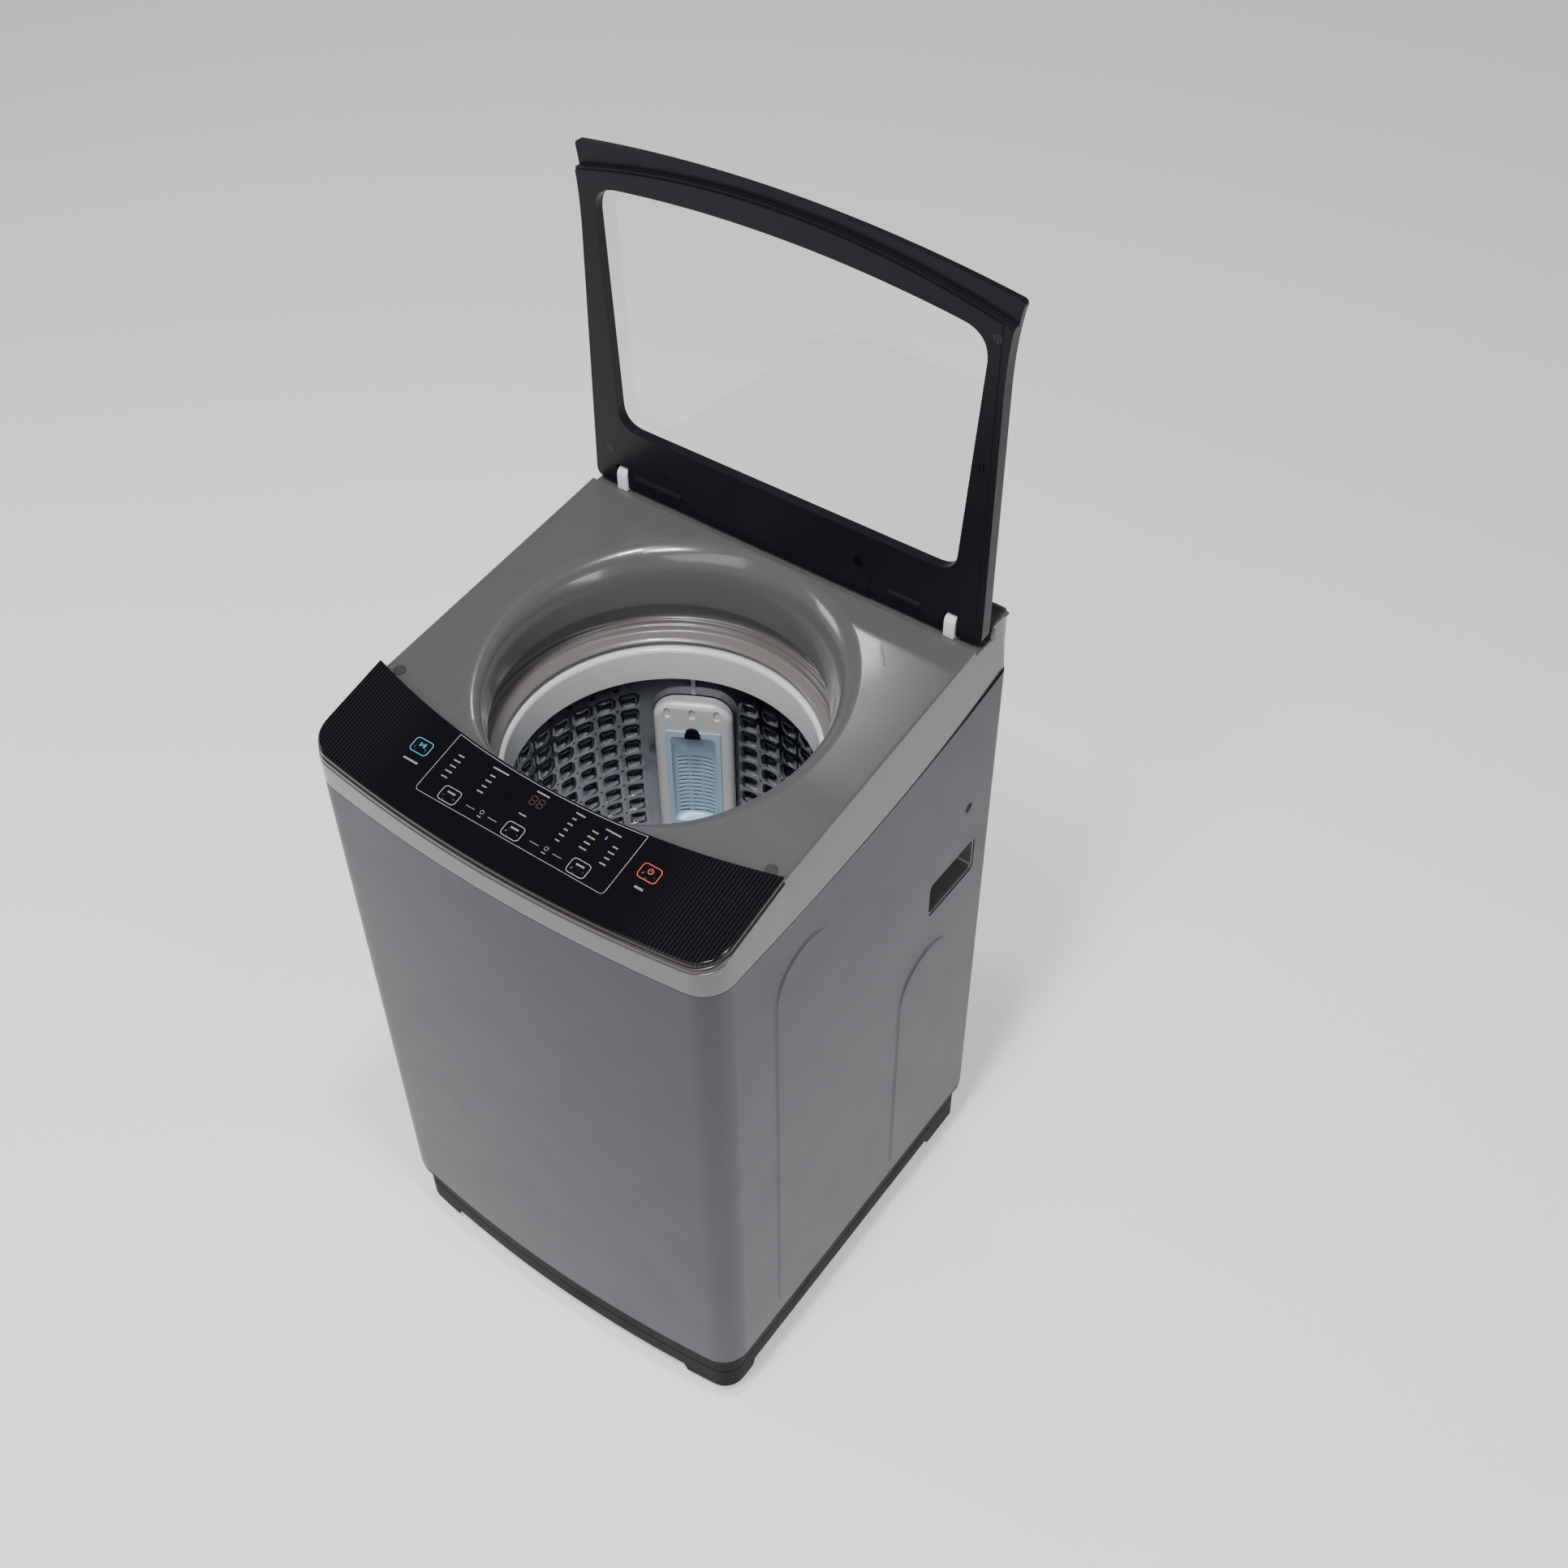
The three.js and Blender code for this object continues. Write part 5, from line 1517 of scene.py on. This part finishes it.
        tick = self.mark(0.090, 0.0873, (0.5 * MM, 2 * MM), 0.3 * MM, 0.1 * MM)
        self.wardrobe.dress(tick, "lit_tick", Ink.cyan, "cabinet")

    def sign(self, name: str, x: float, y: float) -> list[bpy.types.Object]:
        """What is drawn on a button: play and pause, power, or a plain legend."""
        level, y = self.proud, y + 2 * MM
        if name == "start":
            play = [(x - 3.4 * MM, y - 2.6 * MM), (x + 0.6 * MM, y), (x - 3.4 * MM, y + 2.6 * MM)]
            inside = [(x - 2.7 * MM, y - 1.5 * MM), (x - 0.5 * MM, y), (x - 2.7 * MM, y + 1.5 * MM)]
            lows = [(x + 1.5 * MM, y - 2.6 * MM), (x + 3.2 * MM, y - 2.6 * MM)]
            pause = [rounded_box(low, (low[0] + 0.8 * MM, low[1] + 5.2 * MM), 0.3 * MM) for low in lows]
            return [self.ring(play, inside, level), *(self.flat(o, level, level + 0.14 * MM) for o in pause)]
        if name == "power":
            loop = [*arc((x, y), 3.2 * MM, 125, 415, 24), *reversed(arc((x, y), 2.4 * MM, 125, 415, 24))]
            stroke = rounded_box((x - 0.4 * MM, y), (x + 0.4 * MM, y + 3.8 * MM), 0.3 * MM)
            return [self.flat(o, level, level + 0.14 * MM) for o in (loop, stroke)]
        return [self.bars(x, y + MM, 6, 2 * MM, level)]

    def build(self) -> None:
        """Builds the panel."""
        self.face()
        self.legends()
        for name, x, y, ink in self.buttons:
            key = self.flat(self.around(x, y, 0, 5 * MM), -self.thick, self.proud)
            Bench.rounded(key, 0.7 * MM, 3, 50)
            bpy.ops.mesh.primitive_uv_sphere_add(segments=32, ring_count=16, radius=1)
            dish = bpy.context.object
            low = (y - 3.4 * MM) / math.cos(HEIGHTS.panel_slope)
            shape = Matrix.Diagonal((8.6 * MM, 4.2 * MM, 1.3 * MM, 1))
            dish.data.transform(self.place @ Matrix.Translation((x, low, self.proud)) @ shape)
            Bench.cut(key, dish)
            self.wardrobe.dress(key, "key_" + name, Slot.black_gloss, "button_" + name, ["button_" + name])
            edge = self.around(x, y, -0.5 * MM, 4.5 * MM), self.around(x, y, -1.3 * MM, 3.7 * MM)
            drawn = Bench.merged([self.ring(*edge, self.proud - 0.02 * MM), *self.sign(name, x, y)])
            self.wardrobe.dress(drawn, "sign_" + name, ink, "button_" + name)


# ---------------------------------------------------------------- lid
@dataclass
class Lid:
    """The lid's frame with its stepped free edge and barrels, the screw caps and the hinge brackets."""

    wardrobe: Wardrobe
    axis: Point = (0.234, 0.970)
    inner: float = 8 * MM
    outer: float = 9 * MM
    hinge_x: float = 0.228
    caps: tuple[Point, ...] = (
        (0.2520, 0.362), (0.2475, 0.213), (0.2440, 0.034), (-0.162, 0.026), (0.106, 0.028), (-0.2440, 0.034),
    )
    lean: float = math.radians(-1)
    place: Matrix = field(init=False)

    def __post_init__(self) -> None:
        """Stands the lid on its axis, leaning back a little."""
        self.place = Matrix.Translation((0, *self.axis)) @ Matrix.Rotation(self.lean, 4, "X")

    @staticmethod
    def outline(
        lower_half: float,
        upper_half: float,
        lower: float,
        corner: float,
        bow: float,
        low_round: float,
        high_round: float,
        waist: float = 0.0,
    ) -> list[Point]:
        """A level lower edge, sides that spread and a bowed upper edge.

        Args:
            lower_half: Half the lower edge's length.
            upper_half: Half the width at the upper corners.
            lower: Height of the lower edge.
            corner: Height of the upper corners.
            bow: How much higher the upper edge's middle is.
            low_round: Rounding of the lower corners.
            high_round: Rounding of the upper corners.
            waist: How far the sides are drawn in below the flared upper corners.

        Returns:
            The outline.
        """
        shoulder = corner + bow * (1 - (1 - high_round / upper_half) ** 2)
        crown, start = 2 * (corner + bow) - shoulder, corner - high_round
        drawn_in = upper_half - waist
        flare = bent((drawn_in, corner - 0.095), (drawn_in, corner - 0.04), (upper_half, start), 12)
        right = [
            *bent((lower_half - low_round, lower), (lower_half, lower), (lower_half, lower + low_round), 10),
            (lower_half, lower + low_round),
            *(flare if waist else ()),
            *bent((upper_half, start), (upper_half, corner), (upper_half - high_round, shoulder), 10),
        ]
        top = bent((upper_half - high_round, shoulder), (0, crown), (high_round - upper_half, shoulder), 40)
        return [*right, *top, *((-x, z) for x, z in reversed([*right, top[0]]))]

    def corner(self) -> float:
        """Height of the upper corners over the hinge axis."""
        reach = self.axis[0] - HEIGHTS.panel_rear(0.272) + 0.023
        return reach / math.cos(HEIGHTS.cover_slope)

    def window(self, grow: float) -> list[Point]:
        """The window's outline, grown."""
        top, edge = self.corner() - 0.040 + grow, 0.030 + grow
        return self.outline(0.230 + grow, 0.243 + grow, 0.068 - grow, top, 0.019, edge, edge)

    def block(self, low: Sequence[float], high: Sequence[float]) -> bpy.types.Object:
        """A block between two corners in the lid's own frame."""
        return Bench.prism(
            rounded_box((low[0], low[2]), (high[0], high[2]), 1e-4, 1), -high[1], -low[1], Drawn.FRONT
        )

    def frame(self) -> bpy.types.Object:
        """The frame in its own place, upright about the hinge axis."""
        rim = self.outline(0.268, 0.272, -0.014, self.corner(), 0.021, 0.012, 0.005, 0.008)
        frame = Bench.prism(rim, -self.outer, self.inner, Drawn.FRONT)
        Bench.cut(frame, Bench.prism(self.window(0), -0.02, 0.02, Drawn.FRONT))
        Bench.cut(frame, Bench.prism(self.window(8.3 * MM), -0.02, -5 * MM, Drawn.FRONT))
        stretch = math.cos(HEIGHTS.cover_slope)
        centre = (self.axis[0] - HEIGHTS.panel_arc[0]) / stretch
        for reach, level in ((-4 * MM, -1 * MM), (-7 * MM, 5.5 * MM)):
            edge = arc((0, centre), HEIGHTS.panel_arc[1] / stretch + reach, 108, 72, 48)
            Bench.cut(frame, Bench.prism([(0.4, 0.6), (-0.4, 0.6), *edge], level, 0.02, Drawn.FRONT))
        for side in (-1, 1):
            strip = [(side * 0.2585, -0.05), (side * 0.2555, 0.5), (side * 0.3, 0.5), (side * 0.3, -0.05)]
            Bench.cut(frame, Bench.prism(strip, self.inner - MM, 0.02, Drawn.FRONT))
        Bench.closed(frame)
        Bench.rounded(frame, 1.6 * MM, 3, 50)
        for side, barrel in ((-1, (-0.208, -0.141)), (1, (0.147, 0.189))):
            panel = (-0.216, -0.118) if side < 0 else (0.122, 0.216)
            Bench.cut(frame, self.block((panel[0], -0.02, -0.03), (panel[1], -self.inner + 0.8 * MM, 0.016)))
            roller = Bench.prism(arc((-1.2 * MM, 3 * MM), 8.2 * MM, 0, 350, 35), *barrel, Drawn.SIDE)
            Bench.combined(frame, Bench.rounded(roller, 0.8 * MM, 2, 50), "UNION")
            x = side * self.hinge_x
            Bench.cut(frame, self.block((x - 8.5 * MM, -0.02, -0.03), (x + 8.5 * MM, 0.02, 0.014)))
            Bench.cut(frame, Bench.prism(arc((0, 0), 3.3 * MM, 0, 345, 23), x - 0.027, x + 0.027, Drawn.SIDE))
        return frame

    def build(self) -> None:
        """Builds the lid and its brackets."""
        frame = self.frame()
        frame.data.transform(self.place)
        self.wardrobe.dress(frame, "lid_surround", Slot.black_plastic, "lid", ["lid_frame"])
        caps = []
        for middle in self.caps:
            cap = arc(middle, 5.6 * MM, 0, 350, 35)
            cap = Bench.prism(cap, self.inner - MM, self.inner + 0.35 * MM, Drawn.FRONT)
            caps.append(Bench.rounded(cap, 0.25 * MM, 2, 50))
        caps = Bench.merged(caps)
        caps.data.transform(self.place)
        self.wardrobe.dress(caps, "lid_screw_caps", Slot.black_gloss, "lid")
        for name, side in (("left", -1), ("right", 1)):
            y, z = self.axis
            arm = [(y - 0.011, 0.9503), (y + 0.011, 0.9503), *arc(self.axis, 0.011, 0, 180, 24)]
            x = side * self.hinge_x
            bracket = Bench.rounded(Bench.prism(arm, x - 7 * MM, x + 7 * MM, Drawn.SIDE), 1.8 * MM, 3, 50)
            Bench.cut(bracket, Bench.prism(arc((y, z), 3.3 * MM, 0, 345, 23), x - 0.02, x + 0.02, Drawn.SIDE))
            node = "hinge_bracket_" + name
            self.wardrobe.dress(bracket, "lid_hinge_arm_" + name, Slot.pale_plastic, "cabinet", [node])


# ---------------------------------------------------------------- drum
@dataclass(frozen=True)
class Pillows:
    """The stamped pillows of the drum's wall: how many, how high, and the plain band behind the tower."""

    columns: int = 42
    rows: int = 12
    low: float = 0.4156
    pitch: float = 0.0262
    height: float = 3.4 * MM
    band_turn: float = math.pi / 2 + TOWER_TURN
    band_half: float = 0.33
    inside: tuple[float, ...] = (0, 0.13, 0.19, 0.27, 0.5, 0.73, 0.81, 0.87)

    def at(self, turn: float, height: float) -> float:
        """How far the wall is raised inwards at a direction and height."""
        centre = (math.floor(turn / (2 * math.pi) * self.columns) + 0.5) * 2 * math.pi / self.columns
        off = (centre - self.band_turn + math.pi) % (2 * math.pi) - math.pi
        level = (height - self.low) / self.pitch
        if abs(off) < self.band_half or not 0 < level < self.rows:
            return 0.0
        across = turn / (2 * math.pi) * self.columns % 1 - 0.5
        up = level % 1 - 0.5
        reach = (abs(across / 0.37) ** 5 + abs(up / 0.37) ** 5) ** 0.2
        share = min(max((1 - reach) / 0.38, 0), 1)
        return self.height * share * share * (3 - 2 * share)


@dataclass
class Drum:
    """The stainless drum with its balance ring, the filter tower, filter and latch, and the pulsator."""

    wardrobe: Wardrobe
    radius: float = 0.204
    floor: float = 0.396
    top: float = 0.771
    place: Matrix = field(default_factory=lambda: Matrix.Rotation(TOWER_TURN, 4, "Z"))

    def basket(self) -> None:
        """The wall with its pillows, the rounded floor and the bright seam over the tower."""
        pillows, steps = Pillows(), len(Pillows().inside)
        rows: list[Point] = [(0.060, self.floor + 1.2 * MM), (0.150, self.floor + 1.2 * MM)]
        rows += arc((self.radius - 0.0115, self.floor + 0.0127), 0.0115, 270, 360, 6)
        for row in range(pillows.rows):
            rows += [(self.radius, pillows.low + (row + share) * pillows.pitch) for share in pillows.inside]
        rows += [
            (self.radius, pillows.low + pillows.rows * pillows.pitch),
            (self.radius, 0.765),
            (self.radius, self.top),
        ]
        count = pillows.columns * steps

        def place(column: int, row: int) -> tuple[float, float, float]:
            """The wall's inner face at a column and row."""
            whole, part = divmod(column % count, steps)
            turn = 2 * math.pi * (whole + pillows.inside[part]) / pillows.columns
            radius = rows[row][0] - pillows.at(turn, rows[row][1])
            return radius * math.cos(turn), radius * math.sin(turn), rows[row][1]

        wall = Bench.mapped(count, len(rows) - 1, place)
        Bench.closed(wall, 1e-6)
        outward = sum(face.normal.to_2d().dot(face.center.to_2d()) for face in wall.data.polygons)
        if outward > 0:
            wall.data.flip_normals()
        Bench.applied(wall, "SOLIDIFY", thickness=1.2 * MM, offset=-1)
        self.wardrobe.dress(wall, "drum_wall", Slot.drum_steel, "drum", ["drum_basket"], 50)
        rib = self.on_tower(rounded_box((-2.6 * MM, 0.724), (2.6 * MM, self.top), MM), 0.2022, self.radius)
        Bench.rounded(rib, 0.7 * MM, 3, 50)
        rib.data.transform(self.place)
        self.wardrobe.dress(rib, "drum_seam", Slot.pale_plastic, "drum")

    def on_tower(self, outline: Sequence[Point], inner: float, outer: float) -> bpy.types.Object:
        """Raises an outline of (across, height) between two distances from the drum's axis, at the rear."""
        return Bench.prism(outline, -outer, -inner, Drawn.FRONT)

    def ring(self) -> None:
        """The balance ring with a groove round its top."""
        low, lift = self.top + 0.3 * MM, 0.821
        keys = [(0.2075, low, 0), (0.178, low, 1.2 * MM), (0.1785, lift - 4.5 * MM, 4 * MM)]
        keys += [
            (0.1880, lift - 1.2 * MM, MM),
            (0.1884, lift - 3.4 * MM, 0.3 * MM),
            (0.1898, lift - 3.4 * MM, 0.3 * MM),
        ]
        keys += [
            (0.1902, lift, MM), (0.2035, lift, 3 * MM), (0.2075, lift - 4 * MM, MM), (0.2075, low + MM, 0)
        ]
        ring = Bench.turned(softened(keys), 144)
        self.wardrobe.dress(ring, "drum_balance_ring", Slot.pale_plastic, "drum", ["balance_ring"], 45)

    def tower(self) -> None:
        """The filter tower: a broad column with a round head, three marks and a pocket."""
        shape = [(-0.050, 0.3995), (0.050, 0.3995), *arc((0.023, 0.695), 0.027, 0, 90, 16)]
        shape += arc((-0.023, 0.695), 0.027, 90, 180, 16)
        tower = Bench.rounded(self.on_tower(shape, 0.184, 0.26), 9 * MM, 6, 50)
        Bench.combined(tower, Bench.prism(arc((0, 0), 0.2026, 0, 357.5, 143), 0.409, 0.8), "INTERSECT")
        for x in (-0.031, 0, 0.031):
            outline = rounded_box((x - 3.9 * MM, 0.6985), (x + 3.9 * MM, 0.7145), 3.8 * MM)
            mark = Bench.rounded(self.on_tower(outline, 0.16, 0.1864), 0.9 * MM, 3, 50)
            Bench.cut(tower, mark)
        pocket = rounded_box((-0.0315, 0.513), (0.0315, 0.6765), 4 * MM)
        Bench.cut(tower, self.on_tower(pocket, 0.1, 0.1985))
        tower.data.transform(self.place)
        self.wardrobe.dress(tower, "filter_column", Slot.pale_plastic, "drum", ["filter_tower"], 40)

    def filter(self) -> None:
        """The lint filter: a framed scoop with a slotted back, and its latch."""
        plate = self.on_tower(rounded_box((-0.035, 0.510), (0.035, 0.678), 3 * MM), 0.1817, 0.1837)
        hole = rounded_box((-0.028, 0.5165), (0.028, 0.668), 5 * MM)
        Bench.cut(plate, self.on_tower(hole, 0.1, 0.2))
        Bench.rounded(plate, 0.6 * MM, 2, 50)
        half, low, high, columns, rows = 0.0292, 0.5155, 0.669, 24, 48

        def place(column: int, row: int) -> tuple[float, float, float]:
            """The scoop's face."""
            across, up = 2 * column / columns - 1, row / rows
            z = low + (high - low) * up
            head = min((high - z) / 0.045, 1)
            foot = min((z - low) / 0.006, 1)
            depth = 0.0125 * math.sqrt(max(1 - across**4, 0)) * math.sin(head * math.pi / 2) * foot**0.5
            return across * half, 0.1826 + depth * (1 - 0.25 * across * across), z

        scoop = Bench.mapped(columns, rows, place)
        if sum(face.normal.y for face in scoop.data.polygons) > 0:
            scoop.data.flip_normals()
        Bench.applied(scoop, "SOLIDIFY", thickness=1.3 * MM, offset=-1)
        slot = self.on_tower(rounded_box((-0.0232, 0.523), (-0.0092, 0.5264), 1.2 * MM, 2), 0.1, 0.2)
        for count, step in ((3, (0.0162, 0, 0)), (15, (0, 0, 7 * MM))):
            Bench.repeated(slot, count, step)
        Bench.cut(scoop, slot)
        screen = Bench.merged([plate, scoop])
        screen.data.transform(self.place)
        self.wardrobe.dress(screen, "lint_screen", Slot.filter_blue, "filter", ["lint_filter"])
        tab = [(-0.010, 0.675), (-0.010, 0.669), (0.010, 0.669), (0.010, 0.675)]
        tab += arc((0, 0.6778), 0.0088, 0, 180, 20)
        latch = Bench.rounded(self.on_tower(tab, 0.1784, 0.1814), 0.9 * MM, 3, 50)
        latch.data.transform(self.place)
        self.wardrobe.dress(latch, "filter_catch", Slot.dark_plastic, "latch", ["filter_latch"])

    def pulsator(self) -> None:
        """The pulsator: a dished plate with a rolled rim and four swept vanes."""
        low = self.floor + 3.2 * MM
        keys = [
            (0, low, 0), (0.154, low, 2 * MM), (0.158, low + 5 * MM, 2 * MM), (0.152, low + 9 * MM, 4 * MM)
        ]
        keys += [
            (0.070, low + 12 * MM, 20 * MM),
            (0.036, low + 20 * MM, 8 * MM),
            (0.026, low + 33.5 * MM, 3 * MM),
        ]
        keys += [
            (0.0145, low + 33.5 * MM, 0.5 * MM), (0.0145, low + 30 * MM, 0.5 * MM), (0, low + 30 * MM, 0)
        ]
        plate = Bench.turned(softened(keys), 96)
        for turn in range(4):
            side = [(0.030, low + 4 * MM), (0.149, low + 4 * MM), (0.144, low + 12 * MM)]
            side += bent((0.144, low + 12 * MM), (0.110, low + 24 * MM), (0.030, low + 28 * MM), 8)[1:]
            vane = Bench.prism([*side, (0.030, low + 28 * MM)], -7 * MM, 7 * MM, Drawn.FRONT)
            Bench.rounded(vane, 4 * MM, 3, 60)
            vane.data.transform(Matrix.Rotation(math.radians(45 + 90 * turn), 4, "Z"))
            Bench.combined(plate, vane, "UNION")
        Bench.cut(plate, Bench.prism(arc((0, 0), 9.7 * MM, 0, 350, 35), low - 0.01, low + 26 * MM))
        self.wardrobe.dress(plate, "pulsator_plate", Slot.pale_plastic, "pulsator", ["pulsator"], 45)

    def build(self) -> None:
        """Builds the drum and what turns with it."""
        self.basket()
        self.ring()
        self.tower()
        self.filter()
        self.pulsator()


# ---------------------------------------------------------------- tub
@dataclass
class Tub:
    """The tub's stepped cover ring and the coil springs that it hangs on."""

    wardrobe: Wardrobe
    low: float = 0.8223

    def ring(self) -> None:
        """The cover ring: a warm grey lathe form with rounded steps down to the drum."""
        z = self.low
        keys = [
            (0.2200, z, 0), (0.2377, z, MM), (0.2377, z + 8 * MM, 1.5 * MM), (0.2145, z + 11 * MM, 2 * MM)
        ]
        keys += [(0.2120, z + 46 * MM, MM), (0.2085, z + 46 * MM, MM), (0.2065, z + 24 * MM, 3 * MM)]
        keys += [
            (0.2022, z + 22.5 * MM, 1.5 * MM), (0.2010, z + 18 * MM, 1.5 * MM), (0.1985, z + 17 * MM, MM)
        ]
        keys += [(0.1965, z + 11 * MM, 2 * MM), (0.1865, z + 7.5 * MM, 1.2 * MM), (0.1830, z + 5.2 * MM, MM)]
        keys += [(0.1830, z + 2 * MM, 0.6 * MM), (0.2030, z + 6 * MM, MM), (0.2190, z + 0.3 * MM, 0)]
        ring = Bench.turned(softened(keys), 144)
        self.wardrobe.dress(ring, "tub_cover_ring", Slot.ring_plastic, "tub", ["tub_cover"], 40)

    def springs(self) -> None:
        """The coil springs, set on the cabinet at a fixed length."""
        for name, side, end in (
            ("front_left", -1, -1),
            ("front_right", 1, -1),
            ("rear_left", -1, 1),
            ("rear_right", 1, 1),
        ):
            node = "suspension_spring_" + name
            low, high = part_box(node)
            middle, wire, turns, steps = 12 * MM, 1.9 * MM, 7, 168
            rise = high.z - low.z - 2 * wire

            def place(column: int, row: int, low: Vector = low, rise: float = rise) -> Vector:
                """A point on the wire: closed coils at both ends, and a point where it starts and stops."""
                share = row / steps
                turn = 2 * math.pi * turns * share
                level = min(max((share - 0.12) / 0.76, 0), 1)
                thick = 0 if row in (0, steps) else wire
                around = 2 * math.pi * (column % 8) / 8
                reach = middle + thick * math.cos(around)
                height = low.z + wire + level * rise
                return Vector(
                    (reach * math.cos(turn), reach * math.sin(turn), height + thick * math.sin(around))
                )

            coil = Bench.mapped(8, steps, place)
            Bench.closed(coil, 1e-6)
            coil.data.transform(Matrix.Translation((side * 0.222, end * 0.232, 0)))
            self.wardrobe.dress(coil, "coil_" + name, Slot.zinc_steel, "cabinet", [node], 60)
            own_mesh(coil)

    def build(self) -> None:
        """Builds the ring and the springs."""
        self.ring()
        self.springs()


def main() -> None:
    """Builds the machine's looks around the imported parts."""
    logging.basicConfig(level=logging.INFO, format="%(name)s: %(message)s")
    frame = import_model()
    Studio().build()
    wardrobe = Wardrobe()
    Casing(wardrobe).build()
    TopCover(wardrobe).build()
    ControlPanel(wardrobe).build()
    Lid(wardrobe).build()
    Drum(wardrobe).build()
    Tub(wardrobe).build()
    wardrobe.dress_nodes(frame)


if __name__ == "__main__":
    main()
